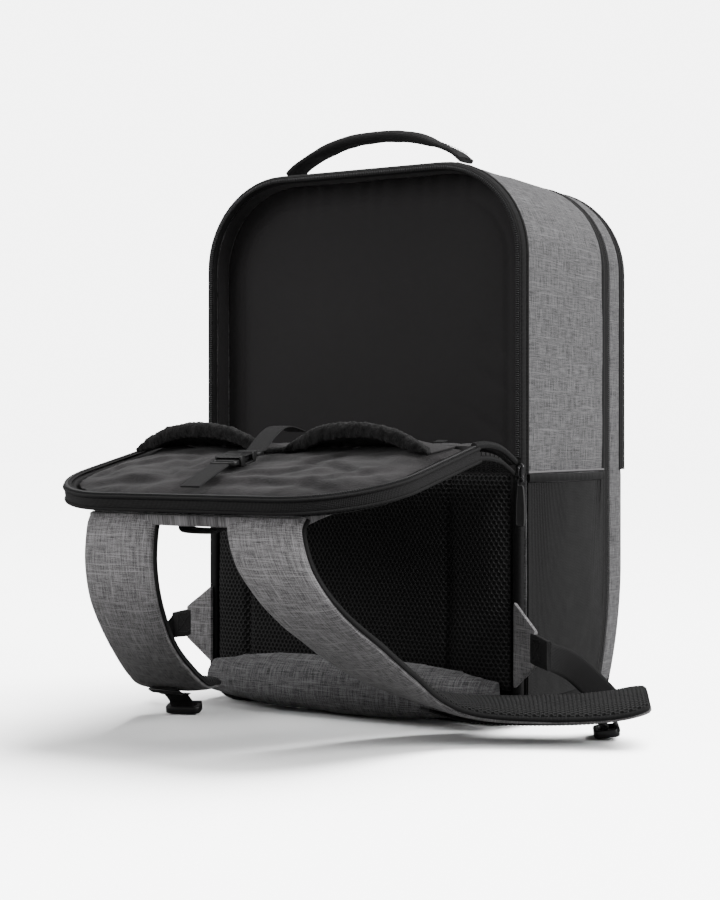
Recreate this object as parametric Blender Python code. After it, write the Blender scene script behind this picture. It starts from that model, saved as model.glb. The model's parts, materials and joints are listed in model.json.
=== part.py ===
"""A drone carrying case worn as a backpack: the harness-side flap stands open, hinged low down.

Frame: metres, +Z up, the harness side faces -Y, +X is to the right of someone who faces that side.
The origin is on the floor, under the middle of the bag. The flap, straps, webbings, buckle, sliders,
pulls, front shell and handle move, and each of their objects has its origin on its joint's axis.
"""

import math

import bmesh
import bpy
from mathutils import Matrix, Vector

GAP = 0.0003  # left between pieces that touch

# Bag body
HALF_WIDTH = 0.170
HEIGHT = 0.499
TOP_SLOPE = 0.020  # the top falls by this much per metre of depth
TOP_RADIUS = 0.085
BASE_RADIUS = 0.032
FACE_Y = -0.112  # plane of the harness-side rim
WALL_Y = -0.104  # where the gusset starts behind the rim
MAIN_ZIP_Y = 0.0593  # start of the main zip's tape
SHELL_Y = 0.0708  # start of the front shell
POCKET_ZIP_Y = 0.0945  # start of the front pocket's zip tape
POCKET_ZIP_END = 0.1065
FRONT_Y = 0.1250
TUCK = 0.030  # how far the front draws back at the floor
TUCK_Z = 0.130  # and the height where it starts
SHELL_HINGE_Y = 0.0390  # the shell's lowest rear edge, about which it falls open
SHELL_HINGE_Z = 0.0010
WALL = 0.006
BASE_SEAM_Z = 0.060
FOLD_Z = 0.230  # the flap folds here
POCKET_SEAM_Z = 0.222  # seam between the lower and upper front panels

# Flap
FLAP_TILT = math.radians(12.0)  # slope of the open flap, falling towards its free edge
FOLD_EDGE = (-0.190, 0.2465)  # y and z where the flat part of the open flap starts
FOLD_LENGTH = 0.081  # of cloth between the fold seam and that edge
CLOSED_Y = -0.1165  # plane of the flap's coil when it is shut
FLAP_CORNER = 0.085
RIM_DEPTH = 0.013

# Shoulder straps and webbing
STRAP_WIDTH = 0.067
STRAP_FACE = 0.0088
STRAP_BACK = 0.0072
STRAP_SPLIT = 0.0010  # half the gap between a strap's face and its twisted mesh backing
WEBBING = 0.025
ARC_STEPS = 7
FLATNESS = 0.0005  # a face bent by more than this many radians is split into flat ones


def colour_material(name, colour, roughness, metallic=0.0):
    material = bpy.data.materials.new(name)
    material.use_nodes = True
    shader = material.node_tree.nodes["Principled BSDF"]
    shader.inputs["Base Color"].default_value = (*colour, 1.0)
    shader.inputs["Roughness"].default_value = roughness
    shader.inputs["Metallic"].default_value = metallic
    return material


def start_scene():
    for old in list(bpy.data.objects):
        bpy.data.objects.remove(old)
    shades = {
        "heather": ((0.22, 0.21, 0.22), 0.9),
        "mesh": ((0.016, 0.015, 0.016), 0.85),
        "binding": ((0.012, 0.011, 0.012), 0.7),
        "lining": ((0.022, 0.021, 0.022), 0.75),
        "plush": ((0.055, 0.050, 0.052), 0.95),
        "webbing": ((0.018, 0.017, 0.018), 0.65),
        "plastic": ((0.010, 0.010, 0.010), 0.4),
        "coil": ((0.02, 0.02, 0.02), 0.45),
        "slider": ((0.03, 0.03, 0.03), 0.35, 0.8),
        "foam": ((0.05, 0.05, 0.052), 0.9),
    }
    return {name: colour_material(name, *values) for name, values in shades.items()}


def finished(name, bm, material, axis=None, world=True):
    """Turns the bmesh into an object. On an axis its points become relative to that axis."""
    bmesh.ops.connect_verts_nonplanar(bm, angle_limit=FLATNESS, faces=bm.faces)
    bmesh.ops.recalc_face_normals(bm, faces=bm.faces)
    mesh = bpy.data.meshes.new(name)
    bm.to_mesh(mesh)
    bm.free()
    if axis is not None and world:
        mesh.transform(axis.matrix_world.inverted())
    mesh.shade_smooth()
    mesh.set_sharp_from_angle(angle=math.radians(40))
    mesh.materials.append(material)
    piece = bpy.data.objects.new(name, mesh)
    bpy.context.scene.collection.objects.link(piece)
    piece.parent = axis
    return piece


def add_loft(bm, sections, closed=False):
    """Joins like polygons in order. An open loft gets a cap at each end."""
    rows = [[bm.verts.new(point) for point in section] for section in sections]
    count = len(rows[0])
    pairs = list(zip(rows, rows[1:]))
    if closed:
        pairs.append((rows[-1], rows[0]))
    for here, there in pairs:
        for i in range(count):
            j = (i + 1) % count
            bm.faces.new((here[i], here[j], there[j], there[i]))
    if not closed:
        bm.faces.new(rows[0])
        bm.faces.new(rows[-1])


def loft(name, sections, material, closed=False, axis=None, world=True):
    bm = bmesh.new()
    add_loft(bm, sections, closed)
    return finished(name, bm, material, axis, world)


def tucked(sections):
    """The same sections with the bag's front drawn back towards the floor, as its soft base is."""
    moved = []
    for section in sections:
        points = []
        for x, y, z in section:
            low = max(0.0, 1 - z / TUCK_Z) ** 2
            depth = max(0.0, (y - WALL_Y) / (MAIN_ZIP_Y - WALL_Y))
            points.append((x, y - TUCK * low * depth, z))
        moved.append(points)
    return moved


def add_box(bm, low, high, bevel=0.0):
    middle = [(a + b) / 2 for a, b in zip(low, high)]
    size = [b - a for a, b in zip(low, high)]
    made = bmesh.ops.create_cube(bm, size=1.0)["verts"]
    bmesh.ops.scale(bm, vec=size, verts=made)
    if bevel:
        edges = list({edge for vert in made for edge in vert.link_edges})
        cut = bmesh.ops.bevel(
            bm, geom=edges, offset=bevel, affect="EDGES", segments=1, profile=0.5, material=-1
        )
        made = list({vert for face in cut["faces"] for vert in face.verts})
    bmesh.ops.translate(bm, vec=middle, verts=made)


def boxes(name, spans, material, axis=None, world=True, bevel=0.0):
    bm = bmesh.new()
    for low, high in spans:
        add_box(bm, low, high, bevel=bevel)
    return finished(name, bm, material, axis, world)


def empty(name, place, tilt=0.0):
    axis = bpy.data.objects.new(name, None)
    axis.location = place
    axis.rotation_euler = (tilt, 0.0, 0.0)
    bpy.context.scene.collection.objects.link(axis)
    bpy.context.view_layer.update()
    return axis


def arc(centre, radius, first, last, steps=ARC_STEPS):
    """Points of a circular arc in a plane, ends included, with angles in degrees."""
    turn = [math.radians(first + (last - first) * i / steps) for i in range(steps + 1)]
    return [(centre[0] + radius * math.cos(a), centre[1] + radius * math.sin(a)) for a in turn]


def top_at(y):
    return HEIGHT - TOP_SLOPE * (y - FACE_Y)


def arch_path(inset, y, low):
    """The bag's outline above low, from the left side over the top to the right side, as (x, z)."""
    half, top, radius = HALF_WIDTH - inset, top_at(y) - inset, TOP_RADIUS - inset
    left = arc((-half + radius, top - radius), radius, 180, 90)
    right = arc((half - radius, top - radius), radius, 90, 0)
    sides = [z for z in (low, 0.090, TUCK_Z, 0.250) if z >= low]
    up = [(-half, z) for z in sides]
    return [*up, *left, *right, *[(-x, z) for x, z in reversed(up)]]


def base_path(inset, high):
    """The bag's outline below high, from the left side under the base to the right side."""
    half, radius = HALF_WIDTH - inset, BASE_RADIUS - inset
    left = arc((-half + radius, inset + radius), radius, 180, 270, 4)
    right = arc((half - radius, inset + radius), radius, 270, 360, 4)
    return [(-half, high), *left, *right, (half, high)]


def full_path(inset, y):
    return arch_path(inset, y, BASE_SEAM_Z)[:-1] + base_path(inset, BASE_SEAM_Z)[::-1][:-1]


def wall_sections(path, outer, inner, start, end):
    """Sections of a wall between two insets and two depths, along the bag's outline."""
    corners = (
        (path(outer, start), start),
        (path(outer, end), end),
        (path(inner, end), end),
        (path(inner, start), start),
    )
    count = len(corners[0][0])
    return [[(line[i][0], y, line[i][1]) for line, y in corners] for i in range(count)]


def plate(name, start, end, inset, material, axis=None):
    """A flat panel of the bag's outline."""
    sections = [[(x, y, z) for x, z in full_path(inset, y)] for y in (start, end)]
    return loft(name, tucked(sections), material, axis=axis)


def smooth_route(points, steps):
    """Points on a smooth curve through the given ones, each a tuple of any length."""
    found = []
    for i in range(len(points) - 1):
        p = [Vector(points[max(0, min(len(points) - 1, i + k))]) for k in (-1, 0, 1, 2)]
        for s in range(steps):
            t = s / steps
            found.append(
                0.5
                * (
                    2 * p[1]
                    + (p[2] - p[0]) * t
                    + (2 * p[0] - 5 * p[1] + 4 * p[2] - p[3]) * t * t
                    + (3 * p[1] - p[0] - 3 * p[2] + p[3]) * t**3
                )
            )
    found.append(Vector(points[-1]))
    return found


def ribbon_sections(route, across, width, low, high):
    """Rectangular sections along a route. across gives the width's direction at each point."""
    sections = []
    for i, point in enumerate(route):
        along = (route[min(i + 1, len(route) - 1)] - route[max(i - 1, 0)]).normalized()
        side = Vector(across[i]).normalized()
        out = along.cross(side).normalized()
        half = width[i] / 2 if isinstance(width, list) else width / 2
        sections.append(
            [
                point + side * half + out * low,
                point + side * half + out * high,
                point - side * half + out * high,
                point - side * half + out * low,
            ]
        )
    return sections


# Body -----------------------------------------------------------------------------------------


def make_body(look):
    walls = wall_sections(
        lambda inset, y: arch_path(inset, y, BASE_SEAM_Z), 0, WALL, WALL_Y, MAIN_ZIP_Y - GAP
    )
    loft("main_gusset", tucked(walls), look["heather"])
    base_high = BASE_SEAM_Z - GAP
    base = wall_sections(
        lambda inset, y: base_path(inset, base_high), 0, WALL, WALL_Y, MAIN_ZIP_Y - GAP
    )
    loft("base_panel", tucked(base), look["binding"])
    plate("divider_panel", -0.0860, -0.0790, WALL + GAP, look["lining"])
    tape = wall_sections(full_path, -0.0012, 0.0050, MAIN_ZIP_Y, SHELL_Y - GAP)
    floor_clear = [[(x, y, max(z, 0.0004)) for x, y, z in section] for section in tape]
    loft("main_zip_tape", tucked(floor_clear), look["binding"], closed=True)


def make_harness_rim(look):
    seam = FOLD_Z - 0.008
    rim = wall_sections(
        lambda inset, y: arch_path(inset, y, seam), -0.0012, 0.0095, FACE_Y, WALL_Y - GAP
    )
    loft("rim_binding", rim, look["binding"])
    coil = wall_sections(
        lambda inset, y: arch_path(inset, y, FOLD_Z + 0.006),
        0.0015,
        0.0065,
        FACE_Y - 0.0025,
        FACE_Y - GAP,
    )
    loft("body_zip_coil", coil, look["coil"])
    lining = wall_sections(
        lambda inset, y: arch_path(inset, y, seam), WALL + GAP, WALL + 0.0025, WALL_Y, -0.0868
    )
    loft("recess_lining", lining, look["lining"])
    lower = wall_sections(
        lambda inset, y: base_path(inset, seam - GAP), 0.0006, 0.0120, FACE_Y, WALL_Y - GAP
    )
    loft("lower_binding", lower, look["binding"])


def make_back_panel(look):
    half, low, high = 0.1575, 0.0320, FOLD_Z - 0.009
    outer, skin = FACE_Y - 0.0045, WALL_Y - GAP
    bm = bmesh.new()
    add_box(bm, (-half, outer, low), (half, skin, high), bevel=0.004)
    finished("lower_mesh_panel", bm, look["mesh"])
    # The lumbar pad: a rolled cushion whose ends taper, resting on the floor.
    sections = []
    for step in range(9):
        across = -1 + step / 4
        x = 0.156 * across
        fall = abs(across) ** 3
        height, reach = 0.060 - 0.026 * fall, 0.040 - 0.018 * fall
        back = outer - GAP
        lift = 0.010 * fall
        sections.append(
            [
                (x, back, lift + 0.004),
                (x, back - 0.55 * reach, lift),
                (x, back - 0.92 * reach, lift + 0.18 * height),
                (x, back - reach, lift + 0.42 * height),
                (x, back - 0.86 * reach, lift + 0.72 * height),
                (x, back - 0.50 * reach, lift + 0.93 * height),
                (x, back, lift + 0.98 * height),
            ]
        )
    loft("lumbar_pad", sections, look["heather"])


def make_side_pocket(side, look):
    """A stretch-mesh bottle pocket that bows away from the gusset towards its hem."""
    low, high, hem = 0.022, 0.2140, 0.2215
    skin, wall = 0.0018, HALF_WIDTH + GAP
    bow = [0.0, 0.0085, 0.0120, 0.0125, 0.0090, 0.0]
    depths = [WALL_Y + 0.004 + i * (MAIN_ZIP_Y - WALL_Y - 0.008) / 5 for i in range(6)]
    cloth, edging = [], []
    for y, out in zip(depths, bow):
        near, far = wall + out, wall + out * 0.45
        cloth.append(
            [
                (side * wall, y, low),
                (side * (wall + skin), y, low),
                (side * (far + skin), y, (low + high) / 2),
                (side * (near + skin), y, high),
                (side * near, y, high),
                (side * far, y, (low + high) / 2),
            ]
        )
        edging.append(
            [
                (side * near, y, high + GAP),
                (side * (near + 0.003), y, high + GAP),
                (side * (near + 0.003), y, hem),
                (side * near, y, hem),
            ]
        )
    name = "left" if side < 0 else "right"
    loft(f"side_pocket_{name}", tucked(cloth), look["mesh"])
    loft(f"pocket_hem_{name}", edging, look["binding"])


# Each wing is a flat triangle. The left one is pulled out sideways, the right one to the front too.
WING_ROOT = Vector((0.1635, FACE_Y - 0.0044, 0.0))
WING_WAYS = {1: Vector((0.85, -0.53, 0.0)).normalized(), -1: Vector((0.81, -0.05, 0.0))}
WEBBING_START = (0.0542, 0.0020, 0.0695)  # along the wing, through it, and its height


def wing_point(side, along, through, z):
    """A point of a wing: along it, through its thickness, and its height."""
    way = WING_WAYS[side]
    place = WING_ROOT + way * along + Vector((-way.y, way.x, 0.0)).normalized() * through
    return (side * place.x, place.y, z)


def make_wing(side, look):
    """The triangle of cloth at the lower corner that holds the lower webbing."""
    name = "left" if side < 0 else "right"
    outline = [(0.0, 0.036), (0.034, 0.058), (0.034, 0.089), (0.0, 0.110)]
    faces = [[wing_point(side, s, t, z) for s, z in outline] for t in (0.0, 0.0038)]
    loft(f"wing_{name}", faces, look["heather"])
    tab = [(0.0343, 0.0600), (0.052, 0.0570), (0.052, 0.0820), (0.0343, 0.0870)]
    faces = [[wing_point(side, s, t, z) for s, z in tab] for t in (-0.0002, 0.0042)]
    loft(f"wing_loop_{name}", faces, look["webbing"])


def make_inside(look):
    """Padded shelves that part the main compartment for the drone, its controller and batteries."""
    half = HALF_WIDTH - WALL - 0.0010
    for name, z in (("shelf_lower", 0.165), ("shelf_upper", 0.330)):
        boxes(name, [((-half, -0.0785, z), (half, 0.0440, z + 0.012))], look["foam"], bevel=0.003)


# Handle ---------------------------------------------------------------------------------------

HANDLE_Y = -0.075
HANDLE_HALF = 0.094
HANDLE_RISE = 0.0260


def make_handle(look):
    surface = top_at(HANDLE_Y)
    pivot_z = surface + 0.006
    route, thick, wide = [], [], []
    for step in range(17):
        across = -1 + step / 8
        rise = HANDLE_RISE * (1 - abs(across) ** 2.2)
        route.append((HANDLE_HALF * across, pivot_z + 0.0020 + rise))
        thick.append(0.0050 + 0.0030 * (1 - across * across))
        wide.append(0.0230 + 0.0040 * abs(across))
    sections = []
    for (x, z), t, w in zip(route, thick, wide):
        low, high, near, far = z - 0.3 * t, z + 0.7 * t, HANDLE_Y - w / 2, HANDLE_Y + w / 2
        sections.append([(x, near, low), (x, near, high), (x, far, high), (x, far, low)])
    axis = empty("handle_axis", (0.0, HANDLE_Y, pivot_z))
    loft("handle_grip", sections, look["binding"], axis=axis)
    low = (-HANDLE_HALF, HANDLE_Y - 0.015, surface + 0.0018)
    high = (HANDLE_HALF, HANDLE_Y + 0.015, surface + 0.0036)
    boxes("handle_base", [(low, high)], look["binding"])


# Flap -----------------------------------------------------------------------------------------


def flap_axis_place():
    """The line about which the flat part of the flap turns from open to shut.

    It carries the fold edge from FOLD_EDGE to the closed plane, FOLD_LENGTH above the fold seam.
    """
    turn = math.radians(90.0) + FLAP_TILT
    start = Vector(FOLD_EDGE)
    end = Vector((CLOSED_Y, FOLD_Z + FOLD_LENGTH))
    chord = end - start
    middle = (start + end) / 2
    towards = Vector((chord.y, -chord.x))
    return middle + towards / (2 * math.tan(turn / 2))


def make_flap(look, axis):
    """The flap's pieces, in its own plane: -Y towards the free edge, +Z to the inner side."""
    cos, sin = math.cos(FLAP_TILT), math.sin(FLAP_TILT)
    dy, dz = FOLD_EDGE[0] - axis.location.y, FOLD_EDGE[1] - axis.location.z
    start, coil = cos * dy + sin * dz, cos * dz - sin * dy
    end = start - (HEIGHT - FOLD_Z - FOLD_LENGTH)

    def outline(inset, first=start - GAP):
        half, radius, low = HALF_WIDTH - inset, FLAP_CORNER - inset, end + inset
        left = arc((-half + radius, low + radius), radius, 180, 270)
        right = arc((half - radius, low + radius), radius, 270, 360)
        return [(-half, first), *left, *right, (half, first)]

    def wall(outer, inner, low, high):
        far, near = outline(outer), outline(inner)
        lines = ((far, low), (far, high), (near, high), (near, low))
        return [[(line[i][0], line[i][1], z) for line, z in lines] for i in range(len(far))]

    def panel(name, inset, low, high, material, crown):
        """A flat panel whose inner side, or outer side for a negative crown, is raised in two steps."""
        bm = bmesh.new()
        add_loft(bm, [[(x, y, z) for x, y in outline(inset)] for z in (low, high)])
        bm.normal_update()
        caps = sorted(bm.faces, key=lambda f: f.calc_area())[-2:]
        cap = (max if crown > 0 else min)(caps, key=lambda f: f.calc_center_median().z)
        for share in (0.6, 0.4):
            bmesh.ops.inset_region(bm, faces=[cap], thickness=0.022, depth=0.0)
            bmesh.ops.translate(bm, vec=(0, 0, crown * share), verts=cap.verts)
        finished(name, bm, material, axis, world=False)

    tape = coil - 0.0012
    rim = wall(0.0, 0.010, coil - RIM_DEPTH, tape)
    teeth = wall(0.001, 0.006, tape + GAP, coil + 0.0015)
    loft("flap_rim", rim, look["binding"], axis=axis, world=False)
    loft("flap_zip_coil", teeth, look["coil"], axis=axis, world=False)
    panel("flap_lining", 0.0103, coil - 0.0042, coil - 0.0005, look["plush"], crown=0.0035)
    panel("flap_mesh_panel", 0.0103, coil - 0.0175, coil - 0.0045, look["mesh"], crown=-0.005)
    return start, coil, end


POCKET_HALF = 0.070
POCKET_CENTRE = 0.080
POCKET_HEIGHT = 0.0220


def pocket_rise(x):
    """Height of the two pockets' mouths above the lining: one hump on each side of the middle."""
    across = (abs(x) - POCKET_CENTRE) / POCKET_HALF
    return POCKET_HEIGHT * max(0.0, 1 - abs(across) ** 2.4)


def make_pockets(look, axis, start, coil):
    """Two sleeves in one panel, open towards the free edge, with a pile-faced band at their mouths."""
    mouth, skin, seam = start - 0.047, 0.0018, coil + 0.0036
    back = start - 0.006
    cloth, band = [], []
    for step in range(21):
        x = (POCKET_CENTRE + POCKET_HALF) * (-1 + step / 10)
        rise = pocket_rise(x)
        cloth.append(
            [
                (x, back, seam),
                (x, mouth, seam + rise),
                (x, mouth, seam + rise + skin),
                (x, back, seam + skin),
            ]
        )
        band.append(
            [
                (x, mouth - GAP, seam + rise),
                (x, mouth - 0.013, seam + rise + 0.0005),
                (x, mouth - 0.013, seam + rise + 0.0042),
                (x, mouth - GAP, seam + rise + 0.0040),
            ]
        )
    loft("pocket_panel", cloth, look["lining"], axis=axis, world=False)
    loft("pocket_trim", band, look["plush"], axis=axis, world=False)


BUCKLE_Y = -0.100  # mouth of the socket, from the flat flap's first edge


def make_hold_strap(look, axis, start, coil, end):
    """The strap that holds a load against the flap, with its side-release buckle."""
    seat = coil + 0.0130
    mouth = start + BUCKLE_Y
    near = [(0, end + 0.012, coil + 0.0048), (0, mouth - 0.042, seat)]
    far = [
        (0, mouth + 0.0180, seat),
        (0, start - 0.040, seat + 0.0125),
        (0, start - 0.018, coil + 0.0195),
    ]
    for name, route in (("hold_strap_front", near), ("hold_strap_rear", far)):
        points = smooth_route(route, 4)
        sections = ribbon_sections(points, [(1, 0, 0)] * len(points), 0.020, -0.0008, 0.0008)
        loft(name, sections, look["webbing"], axis=axis, world=False)
    bm = bmesh.new()
    half, tall = 0.0135, 0.0045
    outside, inside = (half, tall), (half - 0.0028, tall - 0.0018)
    low = mouth - 0.0300
    rings = []
    for (w, h), y in ((outside, low), (outside, mouth), (inside, mouth), (inside, low)):
        rings.append([(w, y, seat + h), (-w, y, seat + h), (-w, y, seat - h), (w, y, seat - h)])
    add_loft(bm, rings, closed=True)
    finished("buckle_socket", bm, look["plastic"], axis, world=False)
    return seat, mouth


def make_buckle_plug(look, flap, seat, mouth):
    place = flap.matrix_world @ Vector((0.0, mouth, seat))
    axis = empty("plug_axis", place, FLAP_TILT)
    boxes(
        "buckle_plug",
        [((-0.0100, -0.0230, -0.0020), (0.0100, 0.0165, 0.0020))],
        look["plastic"],
        axis,
        world=False,
        bevel=0.0008,
    )


def make_yoke(look, axis, coil, end):
    """The cloth patch on the flap's outer side that both straps and the grab loop are sewn to."""
    under = coil - 0.0238
    boxes(
        "strap_yoke",
        [((-0.118, end + 0.016, under - 0.0030), (0.118, end + 0.062, under))],
        look["heather"],
        axis,
        world=False,
        bevel=0.0010,
    )
    top = under - 0.0030 - GAP
    boxes(
        "grab_loop",
        [((-0.0150, end + 0.020, top - 0.0150), (0.0150, end + 0.026, top))],
        look["webbing"],
        axis,
        world=False,
        bevel=0.0010,
    )


def make_fold(look):
    """The soft part of the flap between its flat panel and the seam at FOLD_Z, where it bends."""
    start = (-0.1240, 0.2345)
    profile = smooth_route([start, (-0.1450, 0.2425), (-0.1700, 0.2468), FOLD_EDGE], 3)
    low, high, half = -0.0150, 0.0, HALF_WIDTH - 0.001
    sections = []
    for i, (y, z) in enumerate(profile):
        share = i / (len(profile) - 1)
        tilt = FLAP_TILT * share - math.radians(24.0) * (1 - share)
        out = Vector((0.0, -math.sin(tilt), math.cos(tilt)))
        place = Vector((0.0, y + GAP, z))
        corners = ((-half, low), (half, low), (half, high), (-half, high))
        sections.append([place + Vector((x, 0.0, 0.0)) + out * h for x, h in corners])
    loft("fold_panel", sections, look["mesh"])


# Straps ---------------------------------------------------------------------------------------

# Centre line of each strap, then the direction of its width, both chosen by hand.
RIGHT_STRAP = [
    ((0.072, -0.3600, 0.1790), (1.0, 0.0, 0.0)),
    ((0.086, -0.3650, 0.1500), (1.0, 0.0, 0.0)),
    ((0.107, -0.3540, 0.1190), (0.98, -0.10, 0.05)),
    ((0.121, -0.3150, 0.0880), (0.95, -0.20, 0.10)),
    ((0.127, -0.2650, 0.0600), (0.90, -0.35, 0.10)),
    ((0.138, -0.2200, 0.0400), (0.72, -0.65, 0.05)),
    ((0.160, -0.1860, 0.0290), (0.58, -0.80, 0.0)),
    ((0.210, -0.1560, 0.0268), (0.48, -0.88, 0.0)),
    ((0.258, -0.1310, 0.0282), (0.45, -0.89, 0.0)),
    ((0.289, -0.1150, 0.0320), (0.45, -0.89, 0.0)),
]
LEFT_STRAP = [
    ((-0.072, -0.3600, 0.1790), (1.0, 0.0, 0.0)),
    ((-0.068, -0.3670, 0.1500), (1.0, 0.0, 0.0)),
    ((-0.066, -0.3620, 0.1180), (1.0, 0.0, 0.0)),
    ((-0.074, -0.3340, 0.0850), (1.0, 0.0, -0.04)),
    ((-0.092, -0.2900, 0.0580), (0.98, 0.15, -0.06)),
    ((-0.112, -0.2450, 0.0380), (0.95, 0.28, -0.04)),
    ((-0.124, -0.2180, 0.0325), (0.93, 0.36, 0.0)),
    ((-0.136, -0.1920, 0.0285), (0.92, 0.38, 0.0)),
]

# Each ladder lock's middle (x, y), half its length, half its width, and its height above the floor.
LADDER_LOCKS = {
    "left": ((-0.1320, -0.1990), 0.0100, 0.0160, 0.0080),
    "right": ((0.2500, -0.1130), 0.0110, 0.0170, 0.0130),
}


def make_strap(side, look, axis):
    name = "left" if side < 0 else "right"
    chosen = LEFT_STRAP if side < 0 else RIGHT_STRAP
    route = smooth_route([place for place, _ in chosen], 3)
    across = smooth_route([width for _, width in chosen], 3)
    count = len(route)
    width = [STRAP_WIDTH * (1 - 0.45 * max(0.0, (i - count + 3) / 2) ** 2) for i in range(count)]
    grey = ribbon_sections(route, across, width, STRAP_SPLIT, STRAP_FACE)
    black = ribbon_sections(route, across, width, -STRAP_BACK, -STRAP_SPLIT)
    loft(f"strap_face_{name}", grey, look["heather"], axis=axis)
    loft(f"strap_mesh_{name}", black, look["mesh"], axis=axis)
    # The adjuster's webbing runs on the strap's outer side and ends in the ladder lock.
    first = 15 if side > 0 else 14
    tail = [route[i] for i in range(first, count - 3)]
    lines = [across[i] for i in range(first, count - 3)]
    low, high = STRAP_FACE + 0.0009, STRAP_FACE + 0.0030
    web = ribbon_sections(tail, lines, WEBBING, low, high)
    loft(f"strap_webbing_{name}", web, look["webbing"], axis=axis)
    make_ladder_lock(name, route, look, axis)


def make_ladder_lock(name, route, look, axis):
    """The buckle under the strap's end, a flat frame with one window for the webbing."""
    place, half_long, half_wide, top = LADDER_LOCKS[name]
    along = (route[-1] - route[-5]).normalized()
    flat = Vector((along.x, along.y, 0.0)).normalized()
    sideways = Vector((-flat.y, flat.x, 0.0))
    rings = []
    for a, b in ((half_long, half_wide), (half_long - 0.005, half_wide - 0.005)):
        corners = ((-a, -b), (a, -b), (a, b), (-a, b))
        rings.append([Vector((*place, 0.0)) + flat * x + sideways * y for x, y in corners])
    low = 0.0003
    heights = ((rings[0], top), (rings[0], low), (rings[1], low), (rings[1], top))
    sections = [[(p.x, p.y, z) for p in ring] for ring, z in heights]
    loft(f"ladder_lock_{name}", sections, look["plastic"], closed=True, axis=axis)


def make_lower_webbing(side, look):
    """Webbing from the wing towards the ladder lock. It stops clear of the strap's end."""
    name = "left" if side < 0 else "right"
    start = Vector(wing_point(side, *WEBBING_START))
    if side > 0:
        route = [tuple(start), (0.2230, -0.1160, 0.0560), (0.2400, -0.0860, 0.0300)]
        across = [(0.0, 0.0, 1.0), (0.45, 0.30, 0.8), (0.60, 0.30, 0.7)]
    else:
        route = [tuple(start), (-0.2060, -0.1400, 0.0480), (-0.1880, -0.1580, 0.0300)]
        across = [(0.0, 0.0, 1.0), (-0.30, 0.10, 0.7), (-0.60, 0.20, 0.4)]
    points, lines = smooth_route(route, 4), smooth_route(across, 4)
    axis = empty(f"webbing_axis_{name}", start)
    sections = ribbon_sections(points, lines, 0.0235, -0.0009, 0.0009)
    loft(f"lower_webbing_{name}", sections, look["webbing"], axis=axis)


# Zips -----------------------------------------------------------------------------------------


def make_slider(name, place, size, look):
    axis = empty(f"{name}_axis", place)
    half = [s / 2 for s in size]
    low = [p - h for p, h in zip(place, half)]
    high = [p + h for p, h in zip(place, half)]
    boxes(name, [(low, high)], look["slider"], axis, bevel=0.0012)


def make_pull(name, pivot, low, high, look):
    axis = empty(f"{name}_axis", pivot)
    boxes(name, [(low, high)], look["plastic"], axis, bevel=0.0008)


def make_flap_sliders(look):
    for side in (-1, 1):
        name = "left" if side < 0 else "right"
        x, y, z = side * 0.1705, FACE_Y - 0.0068, 0.2230
        make_slider(f"flap_slider_{name}", (x, y, z), (0.0090, 0.0076, 0.0170), look)
        pivot = (side * 0.1745, y - 0.0055, z - 0.0060)
        low = (pivot[0] - 0.0038, pivot[1] - 0.0011, pivot[2] - 0.0400)
        high = (pivot[0] + 0.0038, pivot[1] + 0.0011, pivot[2])
        make_pull(f"flap_pull_{name}", pivot, low, high, look)


def make_front_sliders(look):
    y = (MAIN_ZIP_Y + SHELL_Y) / 2
    top = top_at(MAIN_ZIP_Y) + 0.0012 + GAP
    for side in (-1, 1):
        name = "left" if side < 0 else "right"
        x = side * 0.0110
        make_slider(f"main_slider_{name}", (x, y, top + 0.0030), (0.0150, 0.0080, 0.0060), look)
        pivot = (x + side * 0.0050, y, top + 0.0074)
        x0, x1 = sorted((pivot[0], pivot[0] + side * 0.0380))
        low, high = (x0, y - 0.0038, top + 0.0063), (x1, y + 0.0038, top + 0.0085)
        make_pull(f"main_pull_{name}", pivot, low, high, look)
    y = POCKET_ZIP_Y + 0.0052
    top = top_at(POCKET_ZIP_Y) + 0.0008 + GAP
    x = -0.0600
    make_slider("pocket_slider", (x, y, top + 0.0030), (0.0150, 0.0076, 0.0060), look)
    pivot = (x - 0.0050, y, top + 0.0074)
    low, high = (pivot[0] - 0.0340, y - 0.0036, top + 0.0063), (pivot[0], y + 0.0036, top + 0.0085)
    make_pull("pocket_pull", pivot, low, high, look)


# Front shell ----------------------------------------------------------------------------------


def clipped(piece, low, high):
    """Keeps the part of the piece between two heights."""
    bm = bmesh.new()
    add_box(bm, (-0.3, -0.1, low), (0.3, 0.4, high))
    mesh = bpy.data.meshes.new(f"{piece.name}_span")
    bmesh.ops.recalc_face_normals(bm, faces=bm.faces)
    bm.to_mesh(mesh)
    bm.free()
    span = bpy.data.objects.new(mesh.name, mesh)
    bpy.context.scene.collection.objects.link(span)
    span.hide_render = True
    span.display_type = "WIRE"
    cut = piece.modifiers.new("span", "BOOLEAN")
    cut.operation = "INTERSECT"
    cut.object = span


def dish(name, outer, look, axis, low, high):
    """A hollow panel whose outline draws in towards its front, as (inset, y) steps."""
    skin = 0.0026
    inner = [(inset + skin, y - (skin if inset > 0.02 else 0.0)) for inset, y in outer]
    inner[-1] = (outer[-1][0], outer[-1][1] - skin)
    sections = [[(x, y, z) for x, z in full_path(inset, y)] for inset, y in reversed(inner)]
    sections += [[(x, y, z) for x, z in full_path(inset, y)] for inset, y in outer]
    piece = loft(name, tucked(sections), look["heather"], axis=axis)
    clipped(piece, low, high)


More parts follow.
